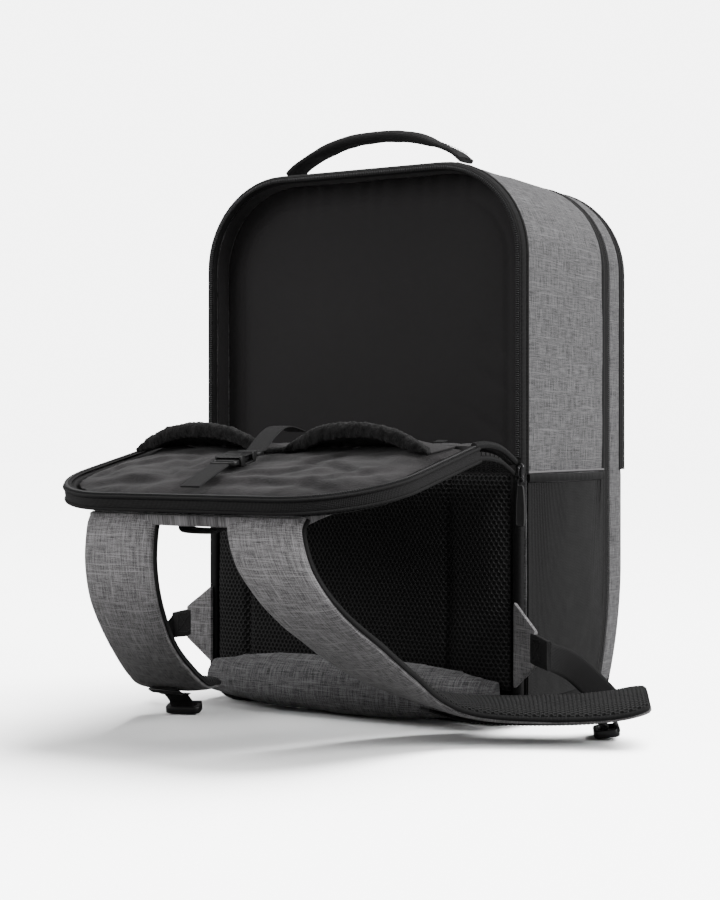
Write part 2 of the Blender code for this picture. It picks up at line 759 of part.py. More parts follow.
def make_front_shell(look, axis):
    frame = wall_sections(full_path, 0.0, 0.0050, SHELL_Y, POCKET_ZIP_Y - GAP)
    floor_clear = [[(x, y, max(z, 0.0010)) for x, y, z in section] for section in frame]
    loft("front_frame", tucked(floor_clear), look["heather"], closed=True, axis=axis)
    rear, front = POCKET_ZIP_Y - 0.0065, POCKET_ZIP_Y - 0.0030
    plate("front_backing", rear, front, 0.0050 + GAP, look["lining"], axis)
    tape = wall_sections(
        lambda inset, y: arch_path(inset, y, POCKET_SEAM_Z),
        -0.0008,
        0.0050,
        POCKET_ZIP_Y,
        POCKET_ZIP_END,
    )
    loft("pocket_zip_tape", tape, look["binding"], axis=axis)
    edge = POCKET_ZIP_END + GAP
    upper = [(0.0008, edge), (0.0040, edge + 0.0080), (0.0130, edge + 0.0150), (0.0320, FRONT_Y)]
    dish("front_panel_upper", upper, look, axis, POCKET_SEAM_Z, 0.6)
    lower = [
        (0.0010, POCKET_ZIP_Y),
        (0.0035, edge + 0.0040),
        (0.0130, edge + 0.0130),
        (0.0320, FRONT_Y),
    ]
    dish("front_panel_lower", lower, look, axis, -0.1, POCKET_SEAM_Z - GAP)


def main():
    look = start_scene()
    make_body(look)
    make_harness_rim(look)
    make_back_panel(look)
    for side in (-1, 1):
        make_side_pocket(side, look)
    for side in (-1, 1):
        make_wing(side, look)
        make_lower_webbing(side, look)
    make_inside(look)
    make_handle(look)
    place = flap_axis_place()
    flap = empty("flap_axis", (0.0, place.x, place.y), FLAP_TILT)
    start, coil, end = make_flap(look, flap)
    make_pockets(look, flap, start, coil)
    seat, mouth = make_hold_strap(look, flap, start, coil, end)
    make_buckle_plug(look, flap, seat, mouth)
    make_yoke(look, flap, coil, end)
    make_fold(look)
    for side in (-1, 1):
        name = "left" if side < 0 else "right"
        axis = empty(f"strap_axis_{name}", (side * 0.072, -0.3600, 0.1810))
        make_strap(side, look, axis)
    make_flap_sliders(look)
    make_front_sliders(look)
    shell = empty("shell_axis", (0.0, SHELL_HINGE_Y, SHELL_HINGE_Z))
    make_front_shell(look, shell)


main()
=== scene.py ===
# %% [markdown]
# # A drone carrying case that is worn as a backpack
# The case stands on its base with its harness side turned to us. The flap of that side is unzipped
# and folded down like a shelf, the two padded shoulder straps hang from it to the floor, and a smooth
# padded divider shows in the opening. Everything here is cloth, webbing, zips and small buckles, so
# the lesson is about soft goods: swept strips, mapped grids, a little cloth simulation, and weaves.
#
# The imported CAD model gives the real sizes. It is loaded first and is never moved: each soft solid in
# it is hidden behind a detailed piece, and most of these ride on the same body.

# %% Load the frame
import json
import math

import bmesh
import bpy
from mathutils import Matrix, Vector, noise


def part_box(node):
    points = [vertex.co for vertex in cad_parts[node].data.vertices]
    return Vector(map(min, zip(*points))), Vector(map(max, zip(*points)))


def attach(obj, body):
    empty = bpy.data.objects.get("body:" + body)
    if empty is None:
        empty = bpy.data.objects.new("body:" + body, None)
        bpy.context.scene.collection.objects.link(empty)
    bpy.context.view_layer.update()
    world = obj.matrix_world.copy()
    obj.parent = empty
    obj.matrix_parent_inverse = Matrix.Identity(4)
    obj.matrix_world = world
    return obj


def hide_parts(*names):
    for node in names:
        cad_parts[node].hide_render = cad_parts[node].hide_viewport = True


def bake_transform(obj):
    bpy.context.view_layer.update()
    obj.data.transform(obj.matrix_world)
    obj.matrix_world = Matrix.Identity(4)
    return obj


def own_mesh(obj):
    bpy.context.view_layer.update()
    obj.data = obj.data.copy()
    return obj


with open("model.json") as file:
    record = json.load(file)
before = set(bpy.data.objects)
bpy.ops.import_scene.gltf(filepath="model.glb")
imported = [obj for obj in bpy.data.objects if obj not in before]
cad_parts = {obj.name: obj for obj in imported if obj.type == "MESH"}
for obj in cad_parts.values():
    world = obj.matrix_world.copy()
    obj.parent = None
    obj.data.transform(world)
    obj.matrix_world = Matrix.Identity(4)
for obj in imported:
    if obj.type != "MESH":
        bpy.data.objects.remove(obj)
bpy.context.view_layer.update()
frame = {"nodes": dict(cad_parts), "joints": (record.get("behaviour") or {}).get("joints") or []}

# %% [markdown]
# ## Sizes
# The sizes come from the CAD nodes' boxes, so that each soft piece lands where its solid is. A few
# more, such as corner radii, can't be read from a box and are repeated from the CAD source. SEAM is
# the hair of air that is left between two neighbours so that their faces never share a plane.

# %% Sizes of the bag
gusset_low, gusset_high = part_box("main_gusset")
HALF_WIDTH, HEIGHT = gusset_high.x, gusset_high.z
WALL_Y = gusset_low.y
RIM_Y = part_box("rim_binding")[0].y
SEAM = 0.0003
MAIN_ZIP_Y = gusset_high.y + SEAM
SHELL_Y, POCKET_ZIP_Y, POCKET_ZIP_END = 0.0708, 0.0945, 0.1065
FRONT_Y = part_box("front_panel_upper")[1].y
TOP_RADIUS, BASE_RADIUS, TOP_SLOPE = 0.085, 0.032, 0.020
TOP_FLAT, BASE_FLAT = 0.17, 0.276
TUCK, TUCK_Z = 0.030, 0.130
BASE_SEAM_Z, FOLD_Z, POCKET_SEAM_Z = 0.060, 0.230, 0.222
print("bag", round(2 * HALF_WIDTH, 3), "wide,", round(HEIGHT, 3), "high, rim at y", round(RIM_Y, 4))

# %% [markdown]
# ## The outline
# Seen from the harness side the bag is a rectangle with large round top corners and small bottom
# ones. Rims, zips, gussets and panels all follow that outline at some inset, so one function gives
# its points, evenly enough that a strip swept along it keeps its width round the corners.


# %% Outline of the bag
def turn_points(x, z, radius, first, last, steps):
    angles = [math.radians(first + (last - first) * i / steps) for i in range(steps + 1)]
    return [(x + radius * math.cos(a), z + radius * math.sin(a)) for a in angles]


def top_at(y):
    return HEIGHT - TOP_SLOPE * (y - RIM_Y)


def spaced(first, last, steps):
    return [first + (last - first) * i / steps for i in range(steps + 1)]


def arch(inset, y, low, step=0.011):
    """Points (x, z) from the left side over the top to the right side."""
    half, top, radius = HALF_WIDTH - inset, top_at(y) - inset, TOP_RADIUS - inset
    side = round((HEIGHT - TOP_RADIUS - low) / step)
    rise = [(-half, z) for z in spaced(low, top - radius, side)]
    left = turn_points(-half + radius, top - radius, radius, 180, 90, 14)[1:]
    flat = [(x, top) for x in spaced(-half + radius, half - radius, round(TOP_FLAT / step))][1:-1]
    right = turn_points(half - radius, top - radius, radius, 90, 0, 14)
    fall = [(-x, z) for x, z in reversed(rise)][1:]
    return rise + left + flat + right + fall


def cradle(inset, high, step=0.011):
    """Points (x, z) from the left side under the base to the right side."""
    half, radius = HALF_WIDTH - inset, BASE_RADIUS - inset
    drop = round((high - BASE_RADIUS) / step) + 1
    left = [(-half, z) for z in spaced(high, BASE_RADIUS, drop)][:-1]
    corner = turn_points(-half + radius, inset + radius, radius, 180, 270, 10)
    flat = [(x, inset) for x in spaced(-half + radius, half - radius, round(BASE_FLAT / step))][1:-1]
    far = turn_points(half - radius, inset + radius, radius, 270, 360, 10)
    return left + corner + flat + far + [(-x, z) for x, z in reversed(left)]


def whole(inset, y):
    """The closed outline; its last point is its first."""
    above, below = arch(inset, y, BASE_SEAM_Z), cradle(inset, BASE_SEAM_Z)
    return above + below[::-1][1:]


def tucked(point):
    """The soft base draws the bag's front back towards the floor."""
    x, y, z = point
    low = max(0.0, 1 - z / TUCK_Z) ** 2
    depth = max(0.0, (y - WALL_Y) / (MAIN_ZIP_Y - WALL_Y))
    return Vector((x, y - TUCK * low * depth, z))


print("outline", len(arch(0.0, RIM_Y, FOLD_Z)), "points over the top,", len(cradle(0.0, 0.06)), "below")

# %% [markdown]
# ## Two ways to make cloth
# Most strips on a bag are one section carried along a line: a binding, a zip tape, a strap. Extruding
# a loop of edges again and again does that, and each new loop is laid on its own section. It also
# gives a UV map in metres for free, with U round the section and V along the strip, so a weave
# keeps its real size. Flat panels are grids whose points are mapped to the panel's shape.


# %% Sweep a section along a line
def swept(sections, loop=True, caps=True):
    """Extrudes the first section through the others. loop closes each section, caps the two ends."""
    bm = bmesh.new()
    column, row = bm.verts.layers.int.new("column"), bm.verts.layers.int.new("row")
    sections = [[Vector(point) for point in section] for section in sections]
    count = len(sections[0])
    points = [bm.verts.new(point) for point in sections[0]]
    for i, vert in enumerate(points):
        vert[column] = i
    links = range(count if loop else count - 1)
    edges = [bm.edges.new((points[i], points[(i + 1) % count])) for i in links]
    ends = [edges]
    for r, section in enumerate(sections[1:], 1):
        made = bmesh.ops.extrude_edge_only(bm, edges=edges)["geom"]
        moved = [g for g in made if isinstance(g, bmesh.types.BMVert)]
        for vert in moved:
            vert[row] = r
            vert.co = section[vert[column]]
        edges = [
            g for g in made if isinstance(g, bmesh.types.BMEdge) and all(v[row] == r for v in g.verts)
        ]
    ends.append(edges)
    closed = (sections[0][0] - sections[-1][0]).length < 1e-6
    if loop and caps and not closed:
        for rim in ends:
            bmesh.ops.edgeloop_fill(bm, edges=rim)
    lay_cloth(bm, sections, loop, column, row)
    if closed:
        bmesh.ops.remove_doubles(bm, verts=bm.verts, dist=1e-6)
    bmesh.ops.recalc_face_normals(bm, faces=bm.faces)
    return bm


def lay_cloth(bm, sections, loop, column, row):
    """Writes the UV map: U is the length round the section and V the length along the strip."""
    uv = bm.loops.layers.uv.new("cloth")
    middle = sections[len(sections) // 2]
    across = [0.0]
    for i in range(len(middle)):
        across.append(across[-1] + (middle[(i + 1) % len(middle)] - middle[i]).length)
    along = [0.0]
    for here, there in zip(sections, sections[1:]):
        step = sum(((b - a).length for a, b in zip(here, there)), 0.0) / len(here)
        along.append(along[-1] + step)
    for face in bm.faces:
        columns = [loop_.vert[column] for loop_ in face.loops]
        wraps = loop and len(face.verts) == 4 and max(columns) - min(columns) > 1
        for corner, c in zip(face.loops, columns):
            u = across[len(middle)] if wraps and c == 0 else across[c]
            corner[uv].uv = (u, along[corner.vert[row]])


# %% Map a grid to a panel
def panel(across, along, place, axes=(0, 2)):
    """A grid whose points (s, t), each from -1 to 1, go to place(s, t). axes are the UV map's axes."""
    bm = bmesh.new()
    bmesh.ops.create_grid(bm, x_segments=across, y_segments=along, size=1.0)
    for vert in bm.verts:
        vert.co = place(vert.co.x, vert.co.y)
    uv = bm.loops.layers.uv.new("cloth")
    for face in bm.faces:
        for corner in face.loops:
            corner[uv].uv = (corner.vert.co[axes[0]], corner.vert.co[axes[1]])
    return bm


def turned(bm, matrix):
    bmesh.ops.transform(bm, matrix=matrix, verts=bm.verts)
    return bm


def facing(bm, way):
    """Turns an open sheet over if its faces look away from way."""
    bm.normal_update()
    lean = sum((face.normal.dot(way) * face.calc_area() for face in bm.faces), 0.0)
    if lean < 0:
        bmesh.ops.reverse_faces(bm, faces=bm.faces)
    return bm


def thickened(bm, depth):
    """Gives an open sheet a real thickness, behind its faces."""
    bm.normal_update()
    own = bm.verts.layers.int.new("own")
    behind = []
    for i, vert in enumerate(bm.verts):
        vert[own] = i
        behind.append(vert.co - vert.normal * depth)
    made = bmesh.ops.extrude_face_region(bm, geom=bm.faces[:])["geom"]
    for vert in made:
        if isinstance(vert, bmesh.types.BMVert):
            vert.co = behind[vert[own]]
    bmesh.ops.recalc_face_normals(bm, faces=bm.faces)
    return bm


def rippled(bm, amount):
    """Moves each point along its normal by amount(point)."""
    bm.normal_update()
    shift = [(vert, vert.normal * amount(vert.co)) for vert in bm.verts]
    for vert, move in shift:
        vert.co += move
    return bm


# %% Turn a bmesh into a piece that rides on a body
def new_piece(name, bm, material, body, cad=(), crease=50):
    mesh = bpy.data.meshes.new(name)
    bm.to_mesh(mesh)
    bm.free()
    mesh.materials.append(material)
    mesh.shade_smooth()
    if crease:
        mesh.set_sharp_from_angle(angle=math.radians(crease))
    piece = bpy.data.objects.new(name, mesh)
    bpy.context.scene.collection.objects.link(piece)
    if body:
        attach(piece, body)
    if cad:
        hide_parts(*cad)
    print(f"{name}: {len(mesh.vertices)} points")
    return piece


def waves(point, pitch, depth, seed=0.0):
    """Soft, random-looking swells: depth is their height and pitch their spacing."""
    return depth * noise.noise(Vector(point) / pitch + Vector((seed, seed * 1.7, seed * 0.3)))


# %% [markdown]
# ## Weaves and finishes
# Every cloth here is a procedural material. Effects that several of them share are node groups: a
# slubby melange weave, a spacer mesh with six-sided holes, ribs, a brushed pile, and a slow change of
# tone that stops large panels from looking printed. A group gives out only tones and heights; the
# Principled shader stays in each material.


# %% Node group helpers
def add_node(tree, kind, values=None, **settings):
    made = tree.nodes.new(kind)
    for key, value in settings.items():
        setattr(made, key, value)
    for key, value in (values or {}).items():
        if isinstance(value, bpy.types.NodeSocket):
            tree.links.new(value, made.inputs[key])
        else:
            made.inputs[key].default_value = value
    return made


def calc(tree, operation, *values):
    made = add_node(tree, "ShaderNodeMath", dict(enumerate(values)), operation=operation)
    return made.outputs[0]


def shaped(tree, value, low, high, first=0.0, last=1.0):
    """Maps value from low..high to first..last, and clamps it."""
    made = add_node(
        tree,
        "ShaderNodeMapRange",
        {"Value": value, "From Min": low, "From Max": high, "To Min": first, "To Max": last},
    )
    return made.outputs["Result"]


def start_group(name, inputs, outputs):
    tree = bpy.data.node_groups.new(name, "ShaderNodeTree")
    for label, kind, value in inputs:
        made = tree.interface.new_socket(label, in_out="INPUT", socket_type=kind)
        if value is not None:
            made.default_value = value
    for label in outputs:
        tree.interface.new_socket(label, in_out="OUTPUT", socket_type="NodeSocketFloat")
    entry, leave = tree.nodes.new("NodeGroupInput"), tree.nodes.new("NodeGroupOutput")
    return tree, entry.outputs, leave.inputs


def scaled(tree, vector, x, y, shift=0.0):
    """The vector's x and y times two numbers, as a new vector."""
    made = add_node(tree, "ShaderNodeMapping", {"Vector": vector, "Scale": (x, y, 1.0)})
    made.inputs["Location"].default_value = (shift, shift * 0.7, shift)
    return made.outputs["Vector"]


def noise_at(tree, vector, scale, detail=2.0, roughness=0.5):
    values = {"Vector": vector, "Scale": scale, "Detail": detail, "Roughness": roughness}
    return add_node(tree, "ShaderNodeTexNoise", values).outputs["Fac"]


def vector_calc(tree, operation, *values):
    made = add_node(tree, "ShaderNodeVectorMath", dict(enumerate(values)), operation=operation)
    return made.outputs["Value" if operation == "LENGTH" else "Vector"]


# %% [markdown]
# A melange cloth is woven from yarns spun of light and dark fibres, so each yarn changes tone along
# its length. Noise stretched along the warp, crossed with noise stretched along the weft, gives those
# short light and dark dashes in both directions. A fine grid of bumps stands for the threads.

# %% Melange weave group
weave, pin, out = start_group(
    "melange_weave",
    [
        ("Vector", "NodeSocketVector", None),
        ("Thread", "NodeSocketFloat", 0.0011),
        ("Slub", "NodeSocketFloat", 1.0),
    ],
    ["Tone", "Height"],
)
warp = noise_at(weave, scaled(weave, pin["Vector"], 950.0, 66.0), 1.0, 2.0, 0.6)
weft = noise_at(weave, scaled(weave, pin["Vector"], 66.0, 950.0, 3.0), 1.0, 2.0, 0.6)
speck = noise_at(weave, scaled(weave, pin["Vector"], 1.0, 1.0, 9.0), 1100.0, 2.0, 0.6)
weft_slub = noise_at(weave, scaled(weave, pin["Vector"], 13.0, 520.0, 5.0), 1.0, 1.0, 0.5)
warp_slub = noise_at(weave, scaled(weave, pin["Vector"], 520.0, 13.0, 7.0), 1.0, 1.0, 0.5)
yarns = calc(weave, "ADD", calc(weave, "MULTIPLY", warp, 0.38), calc(weave, "MULTIPLY", weft, 0.32))
yarns = calc(weave, "ADD", yarns, calc(weave, "MULTIPLY", speck, 0.30))
weft_streak = shaped(weave, weft_slub, 0.62, 0.70)
warp_streak = shaped(weave, warp_slub, 0.65, 0.72, 0.0, 0.8)
long_slub = calc(weave, "MAXIMUM", weft_streak, warp_streak)
streak = calc(weave, "MULTIPLY", calc(weave, "MULTIPLY", long_slub, 0.36), pin["Slub"])
weave.links.new(calc(weave, "ADD", shaped(weave, yarns, 0.40, 0.60), streak), out["Tone"])
axes_ = add_node(weave, "ShaderNodeSeparateXYZ", {"Vector": pin["Vector"]}).outputs
turns = calc(weave, "DIVIDE", 2 * math.pi, pin["Thread"])
warp_bump = calc(weave, "SINE", calc(weave, "MULTIPLY", axes_["X"], turns))
weft_bump = calc(weave, "SINE", calc(weave, "MULTIPLY", axes_["Y"], turns))
bumps = calc(weave, "MULTIPLY_ADD", calc(weave, "MULTIPLY", warp_bump, weft_bump), 0.3, yarns)
weave.links.new(bumps, out["Height"])
print("group", weave.name, len(weave.nodes), "nodes")

# %% [markdown]
# Spacer mesh is a thick knit with rows of open cells. Two square grids of points, one shifted by half
# a cell, are the centres of a six-sided packing; the distance to the nearest centre tells the open
# cell, which the spacer materials paint near black as shade, from the raised ring of yarn round it.

# %% Spacer mesh group
cells, pin, out = start_group(
    "spacer_cells",
    [("Vector", "NodeSocketVector", None), ("Pitch", "NodeSocketFloat", 0.0044)],
    ["Hole", "Height"],
)
ROW = 1.732
CELL, HALF_CELL = (1.0, ROW, 1.0), (0.5, ROW / 2, 0.0)
scale_up = add_node(cells, "ShaderNodeVectorMath", {0: pin["Vector"]}, operation="SCALE")
cells.links.new(calc(cells, "DIVIDE", 1.0, pin["Pitch"]), scale_up.inputs["Scale"])
far = []
for shift in (0.0, 0.5):
    moved = vector_calc(cells, "ADD", scale_up.outputs["Vector"], (shift, shift * ROW, 0.0))
    wrapped = vector_calc(cells, "ADD", vector_calc(cells, "MODULO", moved, CELL), CELL)
    wrapped = vector_calc(cells, "MODULO", wrapped, CELL)
    from_centre = vector_calc(cells, "SUBTRACT", wrapped, HALF_CELL)
    flat = vector_calc(cells, "MULTIPLY", from_centre, (1.0, 1.0, 0.0))
    far.append(vector_calc(cells, "LENGTH", flat))
near = calc(cells, "MINIMUM", *far)
cells.links.new(shaped(cells, near, 0.26, 0.40, 1.0, 0.0), out["Hole"])
cells.links.new(shaped(cells, near, 0.24, 0.50), out["Height"])
print("group", cells.name, len(cells.nodes), "nodes")

# %% [markdown]
# Bindings, webbing and stretch mesh are ribbed. One group of rounded ribs serves them all, with its
# direction chosen by two weights. A slow change of tone and a sprinkle of lint come from one more.

# %% Rib group and tone group
ribs, pin, out = start_group(
    "ribs",
    [
        ("Vector", "NodeSocketVector", None),
        ("Across", "NodeSocketFloat", 0.0),
        ("Along", "NodeSocketFloat", 0.0018),
    ],
    ["Height"],
)
axes_ = add_node(ribs, "ShaderNodeSeparateXYZ", {"Vector": pin["Vector"]}).outputs
rib_parts = []
for axis_name, pitch_name in (("X", "Across"), ("Y", "Along")):
    used = calc(ribs, "GREATER_THAN", pin[pitch_name], 0.00001)
    turns = calc(ribs, "DIVIDE", 2 * math.pi, calc(ribs, "MAXIMUM", pin[pitch_name], 0.00001))
    wave = calc(ribs, "SINE", calc(ribs, "MULTIPLY", axes_[axis_name], turns))
    rib_parts.append(calc(ribs, "MULTIPLY", calc(ribs, "MULTIPLY_ADD", wave, 0.5, 0.5), used))
ribs.links.new(calc(ribs, "ADD", *rib_parts), out["Height"])

tones, pin, out = start_group(
    "handled_tone",
    [("Vector", "NodeSocketVector", None), ("Lint", "NodeSocketFloat", 1.0)],
    ["Tone", "Lint"],
)
broad = noise_at(tones, pin["Vector"], 9.0, 3.0, 0.55)
close = noise_at(tones, pin["Vector"], 70.0, 3.0, 0.6)
both = calc(tones, "MULTIPLY_ADD", close, 0.45, calc(tones, "MULTIPLY", broad, 0.55))
tones.links.new(shaped(tones, both, 0.32, 0.68), out["Tone"])
fleck = add_node(tones, "ShaderNodeTexVoronoi", {"Vector": pin["Vector"], "Scale": 260.0})
dots = shaped(tones, fleck.outputs["Distance"], 0.05, 0.09, 1.0, 0.0)
spots = calc(tones, "MULTIPLY", dots, shaped(tones, close, 0.55, 0.7))
tones.links.new(calc(tones, "MULTIPLY", spots, pin["Lint"]), out["Lint"])
print("groups", ribs.name, "and", tones.name)


# %% Material helpers
def placed(tree, group, **values):
    """The outputs of a node group set into a material."""
    return add_node(tree, "ShaderNodeGroup", values, node_tree=group).outputs


def start_material(name, roughness, sheen=0.0, metallic=0.0, specular=0.5):
    material = bpy.data.materials.new(name)
    material.use_nodes = True
    tree = material.node_tree
    shader = tree.nodes["Principled BSDF"]
    settings = {
        "Roughness": roughness,
        "Metallic": metallic,
        "Specular IOR Level": specular,
        "Sheen Weight": sheen,
        "Sheen Roughness": 0.5,
    }
    for key, value in settings.items():
        shader.inputs[key].default_value = value
    cloth = tree.nodes.new("ShaderNodeUVMap")
    cloth.uv_map = "cloth"
    place = tree.nodes.new("ShaderNodeTexCoord").outputs["Object"]
    return material, tree, shader, cloth.outputs["UV"], place


def blended(tree, share, dark, light):
    """A colour between dark and light."""
    made = add_node(tree, "ShaderNodeMix", data_type="RGBA")
    made.clamp_factor = True
    for socket, value in ((0, share), (6, dark), (7, light)):
        if isinstance(value, bpy.types.NodeSocket):
            tree.links.new(value, made.inputs[socket])
        else:
            made.inputs[socket].default_value = value if socket == 0 else (*value, 1.0)
    return made.outputs[2]


def bumped(tree, shader, height, distance, strength=1.0):
    values = {"Height": height, "Distance": distance, "Strength": strength}
    bump = add_node(tree, "ShaderNodeBump", values)
    tree.links.new(bump.outputs["Normal"], shader.inputs["Normal"])


# %% [markdown]
# The grey outer cloth is the finish that people notice first. Two tones are mixed by the melange
# weave, then darkened a little where the broad tone says so. It has almost no shine and a faint
# sheen, as polyester melange has.


# %% Heather cloths
def heather_cloth(name, dark, light, thread, slub):
    material, tree, shader, cloth, place = start_material(name, 0.88, sheen=0.12, specular=0.25)
    yarn = placed(tree, weave, Vector=cloth, Thread=thread, Slub=slub)
    tone = placed(tree, tones, Vector=place, Lint=0.0)
    base = blended(tree, yarn["Tone"], dark, light)
    shade = shaped(tree, tone["Tone"], 0.0, 1.0, 0.16, 0.0)
    tree.links.new(blended(tree, shade, base, dark), shader.inputs["Base Color"])
    tree.links.new(shaped(tree, yarn["Tone"], 0.0, 1.0, 0.94, 0.80), shader.inputs["Roughness"])
    bumped(tree, shader, yarn["Height"], 0.00045, 0.8)
    return material


DARK_YARN, LIGHT_YARN = (0.028, 0.0275, 0.0285), (0.205, 0.202, 0.207)
STRAP_DARK, STRAP_LIGHT = (0.064, 0.061, 0.063), (0.350, 0.341, 0.347)
heather = heather_cloth("heather_cloth", DARK_YARN, LIGHT_YARN, 0.0011, 1.1)
strap_heather = heather_cloth("strap_heather", STRAP_DARK, STRAP_LIGHT, 0.0012, 1.5)

# %% [markdown]
# The blacks differ in texture more than in colour, so each gets its own relief: open cells on the
# mesh, ribs on binding and webbing, twill on the divider's lining, and a mottled nap on the plush.


# %% Spacer mesh and stretch mesh
def spacer_cloth(name, pitch, yarn_tone):
    material, tree, shader, cloth, place = start_material(name, 0.62, sheen=0.06, specular=0.22)
    knit = placed(tree, cells, Vector=cloth, Pitch=pitch)
    tone = placed(tree, tones, Vector=place, Lint=0.0)
    yarn = blended(tree, tone["Tone"], [0.75 * v for v in yarn_tone], yarn_tone)
    # The open cells are painted near black, far darker than the yarn: painted shade deep in each cell.
    base = blended(tree, knit["Hole"], yarn, (0.0022, 0.0022, 0.0022))
    tree.links.new(base, shader.inputs["Base Color"])
    tree.links.new(shaped(tree, knit["Hole"], 0.0, 1.0, 0.58, 0.95), shader.inputs["Roughness"])
    bumped(tree, shader, knit["Height"], 0.0012, 1.0)
    return material


spacer_mesh = spacer_cloth("spacer_mesh", 0.0044, (0.0210, 0.0202, 0.0208))
strap_mesh = spacer_cloth("strap_mesh", 0.0042, (0.0105, 0.0102, 0.0105))

stretch_mesh, tree, shader, cloth, place = start_material("stretch_mesh", 0.66, sheen=0.05, specular=0.2)
column_ribs = placed(tree, ribs, Vector=cloth, Across=0.0021, Along=0.0)
net = placed(tree, cells, Vector=cloth, Pitch=0.0016)
tone = placed(tree, tones, Vector=place, Lint=0.3)
# Rib valleys are painted darker than rib tops, and the fine holes darker still: painted shade between the
# ribs and in the holes.
SHADED_RIB_VALLEY, RIB_TOP, SHADED_NET_HOLE = (0.0045, 0.0043, 0.0045), (0.0105, 0.0099, 0.0103), (0.003,) * 3
rib_colour_with_shade = blended(tree, column_ribs["Height"], SHADED_RIB_VALLEY, RIB_TOP)
rib_colour_with_shade = blended(tree, calc(tree, "MULTIPLY", net["Hole"], 0.6), rib_colour_with_shade, SHADED_NET_HOLE)
tree.links.new(rib_colour_with_shade, shader.inputs["Base Color"])
tree.links.new(shaped(tree, tone["Tone"], 0.0, 1.0, 0.52, 0.68), shader.inputs["Roughness"])
rib_relief = calc(tree, "MULTIPLY_ADD", net["Height"], 0.3, column_ribs["Height"])
bumped(tree, shader, rib_relief, 0.0007)


# %% Binding, webbing and lining
def ribbed_cloth(name, colour, across, along, depth, roughness, sheen, lint):
    material, tree, shader, cloth, place = start_material(name, roughness, sheen=sheen, specular=0.18)
    rib = placed(tree, ribs, Vector=cloth, Across=across, Along=along)
    tone = placed(tree, tones, Vector=place, Lint=lint)
    # Rib valleys are painted at 0.78 of the colour: painted shade between the ribs.
    base = blended(tree, rib["Height"], [0.78 * v for v in colour], colour)
    worn = shaped(tree, tone["Tone"], 0.0, 1.0, 0.35, 0.0)
    base = blended(tree, worn, base, [0.6 * v for v in colour])
    lint_share = calc(tree, "MULTIPLY", tone["Lint"], 0.35)
    base = blended(tree, lint_share, base, [4.0 * v for v in colour])
    tree.links.new(base, shader.inputs["Base Color"])
    spread = (roughness - 0.06, roughness + 0.08)
    tree.links.new(shaped(tree, tone["Tone"], 0.0, 1.0, *spread), shader.inputs["Roughness"])
    bumped(tree, shader, rib["Height"], depth)
    return material


RIBBED = (
    ("binding", (0.0085, 0.0082, 0.0085), 0.0, 0.0011, 0.00025, 0.62, 0.04, 0.4),
    ("rim_cloth", (0.0120, 0.0115, 0.0118), 0.0013, 0.0013, 0.00035, 0.66, 0.05, 0.5),
    ("webbing", (0.0140, 0.0136, 0.0140), 0.0012, 0.0010, 0.00020, 0.52, 0.04, 0.3),
    ("lining", (0.0165, 0.0150, 0.0158), 0.0007, 0.0007, 0.00010, 0.58, 0.09, 0.15),
    ("pocket_lining", (0.0260, 0.0240, 0.0250), 0.0008, 0.0008, 0.00012, 0.58, 0.10, 0.15),
)
binding, rim_cloth, webbing, lining, pocket_lining = [ribbed_cloth(*look) for look in RIBBED]

# %% [markdown]
# Plush and pile scatter light from the tips of their fibres: a strong sheen, a very fine bump, and a
# mottled base colour that is painted sheen, where the nap lies in different directions and catches the
# light.


# %% Plush and pile
def napped_cloth(name, dark, light, mottle, fibre, depth, sheen):
    material, tree, shader, cloth, place = start_material(name, 0.95, sheen=sheen, specular=0.2)
    lay = noise_at(tree, place, mottle, 3.0, 0.6)
    tuft = noise_at(tree, place, fibre, 2.0, 0.6)
    # The broad mottle from lay is painted sheen: nap lying in different directions catches the light
    # differently. The fine tuft noise is the fibres' own tone.
    share = calc(tree, "MULTIPLY_ADD", tuft, 0.45, calc(tree, "MULTIPLY", lay, 0.75))
    base = blended(tree, shaped(tree, share, 0.42, 0.78), dark, light)
    tree.links.new(base, shader.inputs["Base Color"])
    bumped(tree, shader, calc(tree, "MULTIPLY_ADD", lay, 0.5, tuft), depth)
    return material


NAPPED = (
    ("plush", (0.0045, 0.0040, 0.0043), (0.0290, 0.0262, 0.0273), 40.0, 700.0, 0.0007, 0.10),
    ("pile", (0.0030, 0.0030, 0.0030), (0.0200, 0.0190, 0.0195), 160.0, 900.0, 0.0016, 0.08),
    ("shelf_cloth", (0.030, 0.029, 0.030), (0.070, 0.068, 0.069), 30.0, 800.0, 0.0004, 0.30),
)
plush, pile, shelf_cloth = [napped_cloth(*look) for look in NAPPED]


# %% Moulded plastic, rubber, coil and metal
def hard_finish(name, colour, roughness, grain, metallic=0.0):
    material, tree, shader, cloth, place = start_material(name, roughness, metallic=metallic)
    tone = placed(tree, tones, Vector=place, Lint=0.0)
    fine = noise_at(tree, place, grain, 3.0, 0.65)
    base = blended(tree, tone["Tone"], [0.8 * v for v in colour], colour)
    tree.links.new(base, shader.inputs["Base Color"])
    worn = shaped(tree, fine, 0.3, 0.7, roughness - 0.07, roughness + 0.09)
    tree.links.new(worn, shader.inputs["Roughness"])
    bumped(tree, shader, fine, 0.00012, 0.6)
    return material


plastic = hard_finish("buckle_plastic", (0.0090, 0.0090, 0.0093), 0.38, 1500.0)
rubber = hard_finish("pull_rubber", (0.0200, 0.0196, 0.0200), 0.55, 1100.0)
coil = hard_finish("zip_coil", (0.0200, 0.0195, 0.0205), 0.42, 900.0)
slider_metal = hard_finish("slider_metal", (0.055, 0.054, 0.056), 0.30, 1200.0, metallic=0.85)
thread = hard_finish("sewing_thread", (0.0180, 0.0175, 0.0180), 0.65, 1800.0)
grey_thread = hard_finish("grey_thread", (0.16, 0.155, 0.16), 0.7, 1800.0)
print(len(bpy.data.materials), "materials")

# %% [markdown]
# ## Camera, floor and light
# The case stands on a seamless white sweep. The camera is level with its middle and turned 32 degrees,
# with a long lens. A pale floor runs into a bright plain surround, three large soft lamps light the
# case, and a broad sun that lights nothing but the floor gives it a faint shadow.

